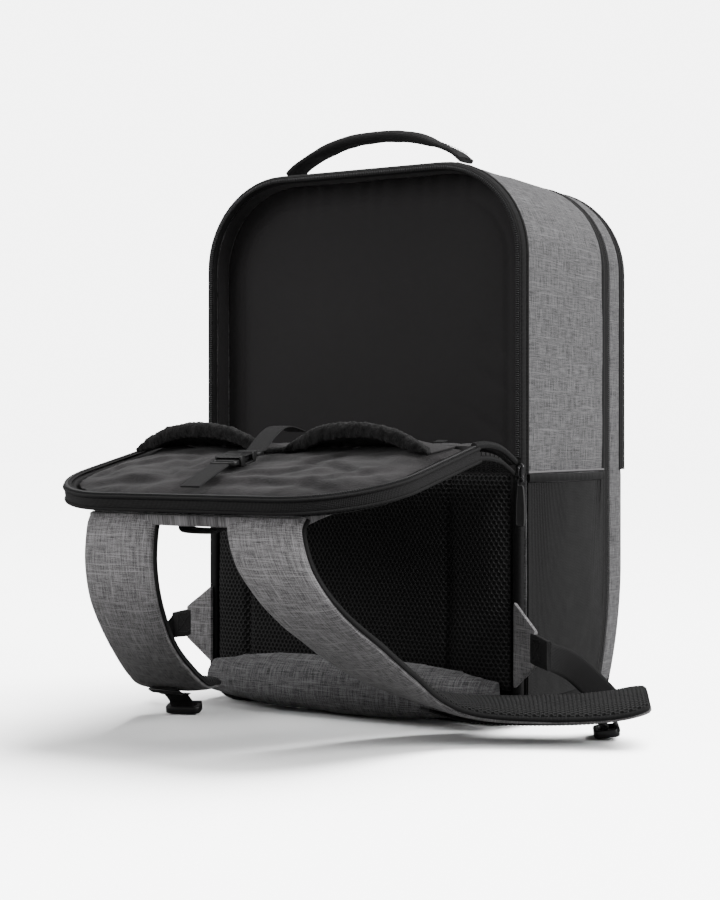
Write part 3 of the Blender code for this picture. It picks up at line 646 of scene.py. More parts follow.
# %% Camera and studio
scene = bpy.context.scene
camera_data = bpy.data.cameras.new("studio_camera")
camera_data.lens, camera_data.sensor_width = 72.0, 36.0
camera_data.shift_y = -0.0222
camera = bpy.data.objects.new("studio_camera", camera_data)
camera.location = (0.879, -1.513, 0.260)
camera.rotation_euler = (math.radians(90), 0.0, math.radians(32))
scene.collection.objects.link(camera)
scene.camera = camera

BACKDROP = 6.0
FILL = 0.42


def seen_and_unseen(tree, seen, unseen):
    """One shader for what the camera sees directly, another for the light that it throws."""
    mix = add_node(tree, "ShaderNodeMixShader")
    path = tree.nodes.new("ShaderNodeLightPath").outputs["Is Camera Ray"]
    tree.links.new(path, mix.inputs[0])
    tree.links.new(unseen, mix.inputs[1])
    tree.links.new(seen, mix.inputs[2])
    return mix.outputs[0]


world = bpy.data.worlds.new("studio_surround")
world.use_nodes = True
sky = world.node_tree
fill = sky.nodes["Background"]
WHITE = (1.0, 1.0, 1.0, 1.0)
fill.inputs["Color"].default_value = WHITE
fill.inputs["Strength"].default_value = FILL
bright = add_node(sky, "ShaderNodeBackground", {"Color": WHITE, "Strength": BACKDROP})
surround = seen_and_unseen(sky, bright.outputs[0], fill.outputs[0])
sky.links.new(surround, sky.nodes["World Output"].inputs["Surface"])
scene.world = world

floor_bm = bmesh.new()
bmesh.ops.create_grid(floor_bm, x_segments=1, y_segments=1, size=9.0)
floor_mesh = bpy.data.meshes.new("studio_floor")
floor_bm.to_mesh(floor_mesh)
floor_bm.free()
floor_look = bpy.data.materials.new("studio_floor")
floor_look.use_nodes = True
paint = floor_look.node_tree
paint.nodes.remove(paint.nodes["Principled BSDF"])
near_paint = add_node(paint, "ShaderNodeBsdfDiffuse", {"Color": (0.80, 0.80, 0.80, 1.0)})
far_paint = add_node(paint, "ShaderNodeBsdfDiffuse", {"Color": (0.06, 0.06, 0.06, 1.0)})
surface = seen_and_unseen(paint, near_paint.outputs[0], far_paint.outputs[0])
paint.links.new(surface, paint.nodes["Material Output"].inputs["Surface"])
floor_mesh.materials.append(floor_look)
floor = bpy.data.objects.new("studio_floor", floor_mesh)
scene.collection.objects.link(floor)


def soft_lamp(name, place, target, size, watts):
    lamp = bpy.data.lights.new(name, "AREA")
    lamp.energy, lamp.size = watts, size
    made = bpy.data.objects.new(name, lamp)
    made.location = place
    made.rotation_euler = (Vector(target) - Vector(place)).to_track_quat("-Z", "Y").to_euler()
    scene.collection.objects.link(made)


for name, place, target, size, watts in (
    ("lamp_right", (2.4, 0.1, 1.5), (0.0, 0.0, 0.25), 1.4, 92.0),
    ("lamp_left", (-1.6, -2.2, 1.5), (0.0, -0.1, 0.25), 1.6, 46.0),
    ("lamp_top", (0.2, -0.3, 2.4), (0.0, -0.1, 0.3), 1.4, 34.0),
):
    soft_lamp(name, place, target, size, watts)

sheet_sun = bpy.data.lights.new("floor_sun", "SUN")
sheet_sun.energy, sheet_sun.angle = 27.0, math.radians(48)
sheet_lamp = bpy.data.objects.new("floor_sun", sheet_sun)
SUN_WAY = Vector((-0.24, -0.62, -1.0))
sheet_lamp.rotation_euler = SUN_WAY.to_track_quat("-Z", "Y").to_euler()
scene.collection.objects.link(sheet_lamp)
only_floor = bpy.data.collections.new("lit_by_floor_sun")
only_floor.objects.link(floor)
sheet_lamp.light_linking.receiver_collection = only_floor
print("camera, three soft lamps and a sun for the floor")

# %% [markdown]
# ## The shell of the bag
# The grey gusset is one band of padded cloth from seam to seam over the top. Foam makes it swell
# slightly between the seams, which pull it in. It is swept along the outline with its section drawn
# in the depth of the bag, skin outside and lining inside, and then given slow swells.

# %% Gusset
def puffed(share, lift, seam=0.07):
    """Height of padding between two seams: steep near each seam, nearly flat in between."""
    edge = min(share, 1 - share) / seam
    return lift * (1 - math.exp(-1.6 * edge))


def across_lines(lines):
    """Sections of a strip that is given as lines of (x, z) along it, each with its depth y."""
    count = len(lines[0][0])
    return [[tucked((line[i][0], y, line[i][1])) for line, y in lines] for i in range(count)]


def wall_rows(path, steps, start, end, lift, thick, sink=0.0):
    """Sections of a padded wall that follows path between two depths."""
    depths = spaced(start, end, steps)
    shares = [i / steps for i in range(steps + 1)]
    skin = [path(sink - puffed(s, lift), y) for s, y in zip(shares, depths)]
    inner = [path(sink + thick, y) for y in (end, (start + end) / 2, start)]
    lines = list(zip(skin, depths)) + list(zip(inner, (end, (start + end) / 2, start)))
    return across_lines(lines)


def arch_from(low):
    """The arch as a path of inset and depth only, with its feet at height low."""
    return lambda inset, y: arch(inset, y, low)


def cradle_to(high):
    return lambda inset, y: cradle(inset, high)


gusset_path, GUSSET_END = arch_from(BASE_SEAM_Z), MAIN_ZIP_Y - SEAM
gusset_rows = wall_rows(gusset_path, 18, WALL_Y, GUSSET_END, 0.0020, 0.0050, 0.0006)
gusset_bm = rippled(
    swept(gusset_rows), lambda p: waves(p, 0.060, 0.0012) + waves(p, 0.022, 0.0004, 5.0)
)
new_piece("gusset_cloth", gusset_bm, heather, "bag_body", ["main_gusset"])

base_path = cradle_to(BASE_SEAM_Z - SEAM)
base_rows = wall_rows(base_path, 14, WALL_Y, GUSSET_END, 0.0, 0.0055, 0.0002)
new_piece("base_cloth", swept(base_rows), binding, "bag_body", ["base_panel"])

# %% [markdown]
# The rim of the opening is a folded binding with piping inside, so its section is nearly round. The
# arch part is sewn to the gusset above the fold seam; a flatter one goes on under the lower panel.

# %% Rim binding
def rounded(width, height, steps=12, power=2.6):
    """Points of a rounded rectangle about its middle, counter-clockwise."""
    found = []
    for i in range(steps):
        angle = 2 * math.pi * i / steps
        c, s = math.cos(angle), math.sin(angle)
        x = math.copysign(abs(c) ** (2 / power), c) * width / 2
        y = math.copysign(abs(s) ** (2 / power), s) * height / 2
        found.append((x, y))
    return found


def band_rows(path, inset, depth, width, height, steps=12, power=2.6):
    """Sections of a band whose middle is at an inset and a depth of the outline."""
    ring = rounded(width, height, steps, power)
    lines = [(path(inset + a, depth + b), depth + b) for a, b in ring]
    return across_lines(lines)


rim_low = FOLD_Z - 0.008
rim_path, RIM_MIDDLE_Y = arch_from(rim_low), -0.1085
rim_rows = band_rows(rim_path, 0.0029, RIM_MIDDLE_Y, 0.0080, 0.0084, 14, 2.4)
new_piece("rim_piping", swept(rim_rows), binding, "bag_body", ["rim_binding"])
cord_rows = band_rows(rim_path, -0.0002, -0.1035, 0.0036, 0.0036, 10, 2.0)
new_piece("rim_cord", swept(cord_rows), rim_cloth, "bag_body", ())
lower_path = cradle_to(rim_low - SEAM)
lower_rows = band_rows(lower_path, 0.0058, RIM_MIDDLE_Y, 0.0096, 0.0070, 14, 2.6)
new_piece("lower_piping", swept(lower_rows), binding, "bag_body", ["lower_binding"])

RECESS = ((0.0062, WALL_Y), (0.0067, -0.0985), (0.0069, -0.0925), (0.0063, -0.0872))
recess_lines = [(rim_path(inset, y), y) for inset, y in RECESS]
recess_rows = [
    [Vector((line[i][0], y, line[i][1])) for line, y in recess_lines]
    for i in range(len(recess_lines[0][0]))
]
recess_bm = swept(recess_rows, loop=False)
facing(recess_bm, Vector((0.0, 0.0, -1.0)))
thickened(recess_bm, 0.0008)
new_piece("recess_wall", recess_bm, lining, "bag_body", ["recess_lining"])

# %% [markdown]
# ## Zips
# A coil zip is a row of small loops on a woven tape. Each loop is modelled once, as a cube with its
# edges rounded off, and copied along the zip at its real pitch. The tape under it is a thin band.


# %% Zip teeth
def along_line(points, pitch):
    """Places at a fixed pitch along a line, with the direction of the line at each."""
    found, left = [], pitch / 2
    for here, there in zip(points, points[1:]):
        way = there - here
        while left <= way.length:
            found.append((here + way.normalized() * left, way.normalized()))
            left += pitch
        left -= way.length
    return found


def add_copies(bm, source, matrices):
    """Adds one copy of the small source mesh for each matrix."""
    for matrix in matrices:
        first = len(bm.verts)
        bm.from_mesh(source)
        bm.verts.ensure_lookup_table()
        bmesh.ops.transform(bm, matrix=matrix, verts=bm.verts[first:])


def bevelled(bm, edges, width, segments=2):
    bmesh.ops.bevel(
        bm, geom=edges, offset=width, affect="EDGES", segments=segments, profile=0.5, material=-1
    )
    return bm


def little_block(size, bevel):
    bm = bmesh.new()
    bmesh.ops.create_cube(bm, size=1.0)
    bmesh.ops.scale(bm, vec=size, verts=bm.verts)
    bevelled(bm, bm.edges[:], bevel, 1)
    mesh = bpy.data.meshes.new("little_block")
    bm.to_mesh(mesh)
    bm.free()
    return mesh


def aimed(place, along, out):
    """A matrix at place with X along the line and Z outwards."""
    along = along.normalized()
    side = out.cross(along).normalized()
    return Matrix.Translation(place) @ Matrix((along, side, along.cross(side))).transposed().to_4x4()


tooth = little_block((0.0011, 0.0034, 0.0013), 0.00045)


def coil_teeth(points, outs, pitch=0.0019):
    """A row of teeth along a line. outs are the outward directions at its points."""
    bm = bmesh.new()
    matrices = []
    for place, way in along_line(points, pitch):
        near = min(range(len(points)), key=lambda i: (points[i] - place).length_squared)
        matrices.append(aimed(place, way, outs[near]))
    add_copies(bm, tooth, matrices)
    return bm


def outline_line(path, inset, y):
    return [tucked((x, y, z)) for x, z in path(inset, y)]


coil_path = arch_from(FOLD_Z + 0.006)
tape_rows = band_rows(coil_path, 0.0034, -0.1128, 0.0046, 0.0010, 8, 4.0)
new_piece("opening_zip_tape", swept(tape_rows), rim_cloth, "bag_body", ["body_zip_coil"])
coil_line = outline_line(coil_path, 0.0044, -0.1136)
coil_bm = coil_teeth(coil_line, [Vector((0.0, -1.0, 0.0))] * len(coil_line))
new_piece("opening_zip_teeth", coil_bm, coil, "bag_body", ())

# %% [markdown]
# The main zip runs round the whole bag between the gusset and the front shell. Its black tape is
# wider than its coil, so the coil sits in the middle of a flat black stripe. The front pocket's zip
# is the same over the top only.


# %% Main zip and pocket zip
def kept_above(rows, low):
    """Lifts the points that would lie below low, so that the soft base does not reach the floor."""
    for section in rows:
        for point in section:
            point.z = max(point.z, low)
    return rows


def outward(line, side_from):
    """The direction out of the bag at each point of a line over the arch."""
    outs = []
    for p in line:
        corner = Vector((math.copysign(HALF_WIDTH - TOP_RADIUS, p.x), p.y, HEIGHT - TOP_RADIUS))
        if p.z > corner.z and abs(p.x) > abs(corner.x):
            outs.append((p - corner).normalized())
        elif abs(p.x) > side_from:
            outs.append(Vector((math.copysign(1.0, p.x), 0.0, 0.0)))
        else:
            outs.append(Vector((0.0, 0.0, 1.0)))
    return outs


zip_middle = (MAIN_ZIP_Y + SHELL_Y - SEAM) / 2
stripe = kept_above(wall_rows(whole, 6, MAIN_ZIP_Y, SHELL_Y - SEAM, 0.0006, 0.0056, -0.0004), 0.0005)
new_piece("main_zip_stripe", swept(stripe), rim_cloth, "bag_body", ["main_zip_tape"])
strip_start, strip_end = MAIN_ZIP_Y - 0.0062, MAIN_ZIP_Y + 0.0002
facing_rows = wall_rows(arch_from(0.020), 5, strip_start, strip_end, 0.0008, 0.0020, -0.0006)
new_piece("main_zip_facing", swept(facing_rows), rim_cloth, "bag_body", ())
main_line = outline_line(arch_from(0.040), -0.0012, zip_middle)
main_teeth = coil_teeth(main_line, outward(main_line, 0.168))
new_piece("main_zip_teeth", main_teeth, coil, "bag_body", ())

pocket_path = arch_from(POCKET_SEAM_Z)
stripe = wall_rows(pocket_path, 6, POCKET_ZIP_Y, POCKET_ZIP_END, 0.0004, 0.0055, -0.0002)
new_piece("pocket_zip_stripe", swept(stripe), rim_cloth, "front_shell", ["pocket_zip_tape"])
pocket_line = outline_line(pocket_path, -0.0009, (POCKET_ZIP_Y + POCKET_ZIP_END) / 2 - 0.0006)
pocket_teeth = coil_teeth(pocket_line, outward(pocket_line, 0.165))
new_piece("pocket_zip_teeth", pocket_teeth, coil, "front_shell", ())

# %% [markdown]
# ## The divider
# Behind the flap a smooth padded panel closes the main compartment. Its cloth is tight, but the seam
# round it gathers a row of small ripples at the top edge, and the load behind pulls a few slanting
# creases towards the zip's side.


# %% Divider panel
def half_at(z, inset, y, low_radius=BASE_RADIUS):
    """Half the outline's width at height z."""
    half, top, radius = HALF_WIDTH - inset, top_at(y) - inset, TOP_RADIUS - inset
    if z > top - radius:
        return half - radius + math.sqrt(max(0.0, radius**2 - (z - top + radius) ** 2))
    low = low_radius - inset
    if z < inset + low:
        return half - low + math.sqrt(max(0.0, low**2 - (inset + low - z) ** 2))
    return half


def edge_gap(x, z, inset, y):
    """Distance from a point of a panel to its outline."""
    half, top, radius = HALF_WIDTH - inset, top_at(y) - inset, TOP_RADIUS - inset
    if z > top - radius and abs(x) > half - radius:
        return radius - math.hypot(abs(x) - half + radius, z - top + radius)
    return min(half - abs(x), top - z, max(0.0, z - inset))


LOAD_CREASES = (
    (0.128, 0.335, 0.9, 0.0016),
    (0.135, 0.300, 0.7, 0.0014),
    (0.122, 0.265, 0.6, 0.0012),
)


def divider_point(s, t):
    inset, y = 0.0066, -0.0862
    top = top_at(y) - inset
    z = 0.0010 + inset + (top - inset - 0.0010) * (0.5 + 0.5 * math.sin(0.5 * math.pi * t))
    x = s * half_at(z, inset, y)
    gap = edge_gap(x, z, inset, y)
    swell = 0.0022 * (1 - math.exp(-gap / 0.012)) - 0.0010 * math.exp(-((gap - 0.020) / 0.003) ** 2)
    phase = x * 330 + 2.0 * noise.noise(Vector((x * 30, 0, 0)))
    ripple = 0.0009 * math.exp(-(top - z) / 0.012) * math.sin(phase)
    crease = 0.0
    for cx, cz, lean, depth in LOAD_CREASES:
        across = (z - cz) * math.cos(lean) + (x - cx) * math.sin(lean)
        along = (x - cx) * math.cos(lean) - (z - cz) * math.sin(lean)
        crease += depth * math.exp(-((across / 0.0045) ** 2) - ((along / 0.024) ** 2))
    calm = 0.0010 * noise.noise(Vector((x / 0.07, z / 0.09, 1.0)))
    return tucked((x, y - swell - ripple + crease - calm, z))


divider_bm = facing(panel(150, 190, divider_point), Vector((0.0, -1.0, 0.0)))
thickened(divider_bm, 0.0040)
new_piece("divider_pad", divider_bm, lining, "bag_body", ["divider_panel"])

# %% [markdown]
# ## The back panel and its lumbar pad
# Under the flap the wearer's back meets a black spacer-mesh panel with two upright seams, and a grey
# roll for the small of the back. The panel is a mapped grid with a pad between each pair of seams.
# The roll starts from its CAD solid, is remeshed, and is blown up with a cloth simulation.


# %% Mesh back panel
mesh_low, mesh_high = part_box("lower_mesh_panel")
SEAMS = (-0.119, 0.0985)


def mesh_point(s, t):
    x = mesh_high.x * s
    z = mesh_low.z + (mesh_high.z - mesh_low.z) * (t + 1) / 2
    gap = min(mesh_high.x - abs(x), z - mesh_low.z, mesh_high.z - z)
    seam = min(abs(x - edge) for edge in SEAMS)
    pad = 0.0062 * (1 - math.exp(-gap / 0.010)) - 0.0040 * math.exp(-((seam / 0.0035) ** 2))
    hollow = 0.0030 * math.exp(-((z - 0.145) / 0.05) ** 2) * (1 - (x / mesh_high.x) ** 2)
    return Vector((x, mesh_low.y + 0.0062 - pad + hollow + waves((x, 0, z), 0.05, 0.0012, 2.0), z))


mesh_bm = facing(panel(110, 80, mesh_point), Vector((0.0, -1.0, 0.0)))
thickened(mesh_bm, 0.0035)
new_piece("back_mesh_panel", mesh_bm, spacer_mesh, "bag_body", ["lower_mesh_panel"])


# %% Inflate a pad with the cloth solver
def merged_copy(node):
    """A clean bmesh of a CAD node's surface."""
    bm = bmesh.new()
    bm.from_mesh(frame["nodes"][node].data)
    bmesh.ops.remove_doubles(bm, verts=bm.verts, dist=1e-5)
    return bm


def shrunk(bm, amount):
    bm.normal_update()
    for vert in bm.verts:
        vert.co -= vert.normal * amount
    return bm


CLOTH_STEPS = 20


def inflated(name, bm, voxel, cap, pressure=4.0):
    """Remeshes a closed surface, blows it up, and gives it back as a bmesh. No point moves past cap."""
    mesh = bpy.data.meshes.new(name)
    bm.to_mesh(mesh)
    bm.free()
    pad = bpy.data.objects.new(name, mesh)
    scene.collection.objects.link(pad)
    remesh = pad.modifiers.new("remesh", "REMESH")
    remesh.mode, remesh.voxel_size = "VOXEL", voxel
    still = bpy.data.meshes.new_from_object(pad.evaluated_get(bpy.context.evaluated_depsgraph_get()))
    pad.modifiers.clear()
    pad.data = still
    rest = [vert.co.copy() for vert in still.vertices]
    cloth = pad.modifiers.new("cloth", "CLOTH")
    cloth.settings.use_pressure = True
    cloth.settings.uniform_pressure_force = pressure
    cloth.settings.effector_weights.gravity = 0.0
    cloth.point_cache.frame_start, cloth.point_cache.frame_end = 1, CLOTH_STEPS
    for step in range(1, CLOTH_STEPS + 1):
        scene.frame_set(step)
    blown = bpy.data.meshes.new_from_object(pad.evaluated_get(bpy.context.evaluated_depsgraph_get()))
    pad.modifiers.clear()
    pad.data = blown
    scene.frame_set(1)
    for vert, start in zip(pad.data.vertices, rest):
        move = vert.co - start
        if move.length > cap:
            vert.co = start + move.normalized() * cap
    made = bmesh.new()
    made.from_mesh(pad.data)
    bpy.data.objects.remove(pad)
    print(name, "blown up:", len(made.verts), "points")
    return made


def lay_flat(bm, axes):
    """A UV map in metres, projected along one axis. axes are the two that are kept."""
    uv = bm.loops.layers.uv.new("cloth")
    for face in bm.faces:
        for corner in face.loops:
            corner[uv].uv = (corner.vert.co[axes[0]], corner.vert.co[axes[1]])
    return bm


def bare(bm):
    """Takes the UV maps off, so that the one from lay_flat is the only one."""
    for layer in list(bm.loops.layers.uv):
        bm.loops.layers.uv.remove(layer)
    return bm


# %% Lumbar pad
lumbar_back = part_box("lumbar_pad")[1].y
lumbar_bm = inflated("lumbar_start", shrunk(merged_copy("lumbar_pad"), 0.0022), 0.0045, 0.0050)
for vert in lumbar_bm.verts:
    vert.co.z = max(vert.co.z, 0.0008)
    vert.co.y = min(vert.co.y, lumbar_back)
bmesh.ops.smooth_vert(
    lumbar_bm, verts=lumbar_bm.verts, factor=0.5, use_axis_x=True, use_axis_y=True, use_axis_z=True
)


def lumbar_relief(p):
    """Slow swells, and a sewn line along the roll."""
    return waves(p, 0.035, 0.0012, 8.0) - 0.0011 * math.exp(-(((p.z - 0.046) / 0.0022) ** 2))


rippled(lumbar_bm, lumbar_relief)
lay_flat(lumbar_bm, (0, 2))
lumbar = new_piece("lumbar_roll", lumbar_bm, heather, "bag_body", ["lumbar_pad"], crease=0)


# %% [markdown]
# ## Side pockets
# Each side has a stretch pocket of ribbed mesh under a narrow hem. Elastic in the hem draws it to the
# bag at both ends, and small gathers run down from it at the rear seam. The pocket is a mapped grid
# with real thickness, standing off the gusset in the middle.


# %% Side pocket cloth and hem
pocket_low, pocket_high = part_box("side_pocket_right")
hem_low, hem_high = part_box("pocket_hem_right")
POCKET_DEPTHS = (WALL_Y + 0.0006, MAIN_ZIP_Y - 0.0050)


def bow_at(share):
    """How far the middle of the pocket stands off, by a smooth curve through six knots."""
    knots = (0.0, 0.0085, 0.0120, 0.0125, 0.0090, 0.0)
    place = share * 5
    i = min(4, int(place))
    f = place - i
    p = [knots[max(0, min(5, i + k))] for k in (-1, 0, 1, 2)]
    cubic = 3 * (p[1] - p[2]) + p[3] - p[0]
    square = 2 * p[0] - 5 * p[1] + 4 * p[2] - p[3] + f * cubic
    return max(0.0, p[1] + 0.5 * f * (p[2] - p[0] + f * square))


def pocket_point(side, share, rise):
    """A point of a side pocket: share runs from back to front, rise from floor to hem."""
    y = POCKET_DEPTHS[0] + (POCKET_DEPTHS[1] - POCKET_DEPTHS[0]) * share
    z = pocket_low.z + (pocket_high.z - pocket_low.z) * rise
    bow = bow_at(share) * (0.45 * rise / 0.5 if rise < 0.5 else 0.45 + 0.55 * (rise - 0.5) / 0.5)
    gather = 0.0011 * math.exp(-((share - 0.86) / 0.10) ** 2) * math.sin(y * 900) * rise**3
    slack = 0.0009 * noise.noise(Vector((side, y / 0.03, z / 0.06)))
    x = HALF_WIDTH + 0.0012 + bow + gather * (bow > 0.001) + max(0.0, slack)
    return side * x, y, z


for side, name in ((-1, "left"), (1, "right")):
    bm = panel(70, 60, lambda s, t: tucked(pocket_point(side, (s + 1) / 2, (t + 1) / 2)), axes=(1, 2))
    facing(bm, Vector((side, 0.0, 0.0)))
    thickened(bm, 0.0009)
    new_piece(f"pocket_cloth_{name}", bm, stretch_mesh, "bag_body", [f"side_pocket_{name}"])
    rows = []
    ring = rounded(0.0030, hem_high.z - hem_low.z, 10, 3.0)
    hem_z = (hem_low.z + hem_high.z) / 2
    for i in range(49):
        x, y, _ = pocket_point(side, i / 48, 1.0)
        pucker = 0.0003 * math.sin(i * 2.4)
        rows.append([Vector((x + side * 0.0004 + a + pucker, y, hem_z + b)) for a, b in ring])
    edging = swept(rows)
    new_piece(f"pocket_edging_{name}", edging, binding, "bag_body", [f"pocket_hem_{name}"])
    ring, piping_x, PIPING_Z = rounded(0.0022, 0.0022, 8, 2.0), side * (HALF_WIDTH + 0.0016), 0.2228
    piping = [
        [Vector((piping_x + a, y, PIPING_Z + b)) for a, b in ring]
        for y in spaced(WALL_Y, MAIN_ZIP_Y - 0.0060, 30)
    ]
    new_piece(f"gusset_piping_{name}", swept(piping), grey_thread, "bag_body", ())

# %% [markdown]
# ## The flap
# The flap is a shallow tray of padding. Its edge is a ribbed wall with the other half of the zip on
# top, the inside is brushed plush, the outside is spacer mesh. All of its pieces are made in the
# flap's own plane, with -Y towards the free edge and +Z up out of the plush, and are then turned into
# place by one matrix: the hinge line and the 12 degrees by which the open flap droops.

# %% The flap's own frame
hinge = next(joint for joint in frame["joints"] if joint["name"] == "flap_hinge")
TILT = math.radians(12.0)
FLAP = Matrix.Translation(hinge["pos_m"]) @ Matrix.Rotation(TILT, 4, "X")
FLAP_START, FLAP_COIL, FLAP_END = -0.0620, 0.01064, -0.2500
FLAP_CORNER = 0.085


def flap_half(y, inset):
    """Half the flap's width at y in its own frame."""
    half, radius, low = HALF_WIDTH - inset, FLAP_CORNER - inset, FLAP_END + inset
    if y < low + radius:
        return half - radius + math.sqrt(max(0.0, radius**2 - (low + radius - y) ** 2))
    return half


def flap_edge(inset, step=0.010):
    """Points (x, y) round the free edge, from the left end of the fold to the right one."""
    half, radius, low = HALF_WIDTH - inset, FLAP_CORNER - inset, FLAP_END + inset
    down = [(-half, y) for y in spaced(FLAP_START - SEAM, low + radius, 10)]
    left = turn_points(-half + radius, low + radius, radius, 180, 270, 16)[1:]
    flat = [(x, low) for x in spaced(-half + radius, half - radius, round(TOP_FLAT / step))][1:-1]
    right = turn_points(half - radius, low + radius, radius, 270, 360, 16)
    return down + left + flat + right + [(-x, y) for x, y in reversed(down)][1:]


def flap_band(inset, middle, width, height, steps=12, power=2.6):
    """Sections of a band round the free edge, in the flap's frame."""
    ring = rounded(width, height, steps, power)
    lines = [(flap_edge(inset + a), middle + b) for a, b in ring]
    return [[Vector((line[i][0], line[i][1], z)) for line, z in lines] for i in range(len(lines[0][0]))]


rim_bm = swept(flap_band(0.0057, FLAP_COIL - 0.0073, 0.0112, 0.0108, 16, 4.0))
rippled(rim_bm, lambda p: waves(p, 0.030, 0.0004))
new_piece("flap_wall", turned(rim_bm, FLAP), rim_cloth, "flap", ["flap_rim"])
for label, height in (("upper", FLAP_COIL - 0.0020), ("lower", FLAP_COIL - 0.0126)):
    bm = turned(swept(flap_band(0.0006, height, 0.0030, 0.0030, 10, 2.0)), FLAP)
    new_piece(f"flap_piping_{label}", bm, binding, "flap", ())
tape_bm = turned(swept(flap_band(0.0038, FLAP_COIL - 0.0002, 0.0062, 0.0010, 8, 4.0)), FLAP)
new_piece("flap_zip_tape", tape_bm, rim_cloth, "flap", ["flap_zip_coil"])
edge_line = [FLAP @ Vector((x, y, FLAP_COIL + 0.0007)) for x, y in flap_edge(0.0024)]
edge_outs = [FLAP.to_3x3() @ Vector((0.0, 0.0, 1.0))] * len(edge_line)
new_piece("flap_zip_teeth", coil_teeth(edge_line, edge_outs), coil, "flap", ())

# %% [markdown]
# The plush lining is loose over soft foam, so it shows broad hollows and folds rather than a flat
# face: it dips along the seam at its edge, rises in pillows, and is pulled into creases where the
# hold-down strap is sewn through it. Its CAD solid is blown up as the lumbar roll was, and then the
# creases are pressed in.


# %% Plush lining
def flap_gap(x, y, inset=0.0103):
    half, radius, low = HALF_WIDTH - inset, FLAP_CORNER - inset, FLAP_END + inset
    if y < low + radius and abs(x) > half - radius:
        return radius - math.hypot(abs(x) - half + radius, low + radius - y)
    return min(half - abs(x), y - low)


CREASES = [
    (-0.105, -0.155, 0.5, 0.050),
    (-0.060, -0.185, -0.7, 0.040),
    (-0.035, -0.150, 1.1, 0.030),
    (0.045, -0.185, 0.6, 0.045),
    (0.085, -0.160, -0.4, 0.050),
    (0.120, -0.185, 0.9, 0.036),
    (0.020, -0.215, 0.1, 0.045),
    (-0.090, -0.215, 0.2, 0.050),
    (0.095, -0.215, -0.15, 0.048),
    (0.060, -0.135, 1.2, 0.030),
    (-0.130, -0.180, 1.3, 0.032),
]


def plush_relief(x, y):
    """How far the plush stands above its seam line."""
    gap = max(0.0, flap_gap(x, y))
    pillow = 0.0024 * (1 - math.exp(-gap / 0.014))
    swell = 0.0034 * noise.noise(Vector((x / 0.040, y / 0.030, 4.0)))
    swell += 0.0010 * noise.noise(Vector((x / 0.016, y / 0.014, 2.0)))
    fold = 0.0
    for cx, cy, lean, reach in CREASES:
        across = (y - cy) * math.cos(lean) - (x - cx) * math.sin(lean)
        along = (x - cx) * math.cos(lean) + (y - cy) * math.sin(lean)
        shape = math.exp(-((along / reach) ** 2))
        ridge = math.exp(-(((across - 0.008) / 0.008) ** 2))
        groove = 0.9 * math.exp(-((across / 0.0060) ** 2))
        fold += 0.0019 * shape * (ridge - groove)
    calm = 1 - math.exp(-gap / 0.010)
    return pillow + (swell + fold) * calm


lining_bm = shrunk(turned(merged_copy("flap_lining"), FLAP.inverted()), 0.0010)
lining_bm = inflated("plush_start", lining_bm, 0.0040, 0.0018)
bmesh.ops.subdivide_edges(lining_bm, edges=lining_bm.edges[:], cuts=1, use_grid_fill=True)
for vert in lining_bm.verts:
    if vert.co.z > FLAP_COIL - 0.0022:
        vert.co.z += plush_relief(vert.co.x, vert.co.y) - 0.0016
lay_flat(lining_bm, (0, 1))
turned(lining_bm, FLAP)
plush_pad = new_piece("flap_plush", lining_bm, plush, "flap", ["flap_lining"], crease=0)

# %% [markdown]
# The outside of the flap is what lies against the wearer's back when it is shut: a spacer-mesh pad
# with two sewn channels. It hangs below the rim in a shallow belly.


# %% Mesh underside
def under_point(s, t):
    y = FLAP_START - 0.0004 + (FLAP_END + 0.0104 - FLAP_START) * (1 - t) / 2
    x = s * flap_half(y, 0.0104)
    gap = max(0.0, flap_gap(x, y, 0.0104))
    seam = min(abs(x - 0.055), abs(x + 0.055))
    belly = 0.0045 * (1 - math.exp(-gap / 0.012)) - 0.0030 * math.exp(-((seam / 0.0030) ** 2))
    return Vector((x, y, FLAP_COIL - 0.0172 - belly + waves((x, y, 0), 0.05, 0.0008, 3.0)))


under_bm = facing(panel(110, 70, under_point, axes=(0, 1)), Vector((0.0, 0.0, -1.0)))
thickened(under_bm, 0.0080)
new_piece("flap_mesh_pad", turned(under_bm, FLAP), spacer_mesh, "flap", ["flap_mesh_panel"])

# %% [markdown]
# Two soft sleeves stand up on the plush, side by side. Their smooth panel is sewn down at the back and
# between them, so the cloth arches, and each mouth is faced with a deep pile that grips what is put
# in. The panel has real thickness, and its seam line is gathered into fine ripples.

# %% Flap pockets
POCKET_CENTRE, POCKET_HALF, POCKET_RISE = 0.080, 0.070, 0.0220
MOUTH = FLAP_START - 0.047
BACK = FLAP_START - 0.006


def arch_rise(x):
    across = (abs(x) - POCKET_CENTRE) / POCKET_HALF
    return POCKET_RISE * max(0.0, 1 - abs(across) ** 2.4)


def pocket_surface(x, share):
    """A point on the sleeves' panel: share is 0 at its back seam and 1 at the mouth."""
    y = BACK + (MOUTH - BACK) * share
    rise = arch_rise(x)
    lift = rise * (share ** 0.8)
    ripple = 0.0007 * math.sin(x * 480) * math.exp(-share / 0.12)
    slack = 0.0012 * noise.noise(Vector((x / 0.028, y / 0.022, 6.0))) * min(1.0, rise / 0.006)
    return Vector((x, y, FLAP_COIL + 0.0010 + 0.0040 * share + lift + ripple + slack))


span = POCKET_CENTRE + POCKET_HALF
sleeve_bm = panel(150, 30, lambda s, t: pocket_surface(span * s, (1 - t) / 2), axes=(0, 1))
facing(sleeve_bm, Vector((0.0, 0.0, 1.0)))
thickened(sleeve_bm, 0.0012)
turned(sleeve_bm, FLAP)
sleeves = new_piece("flap_sleeves", sleeve_bm, pocket_lining, "flap", ["pocket_panel"])

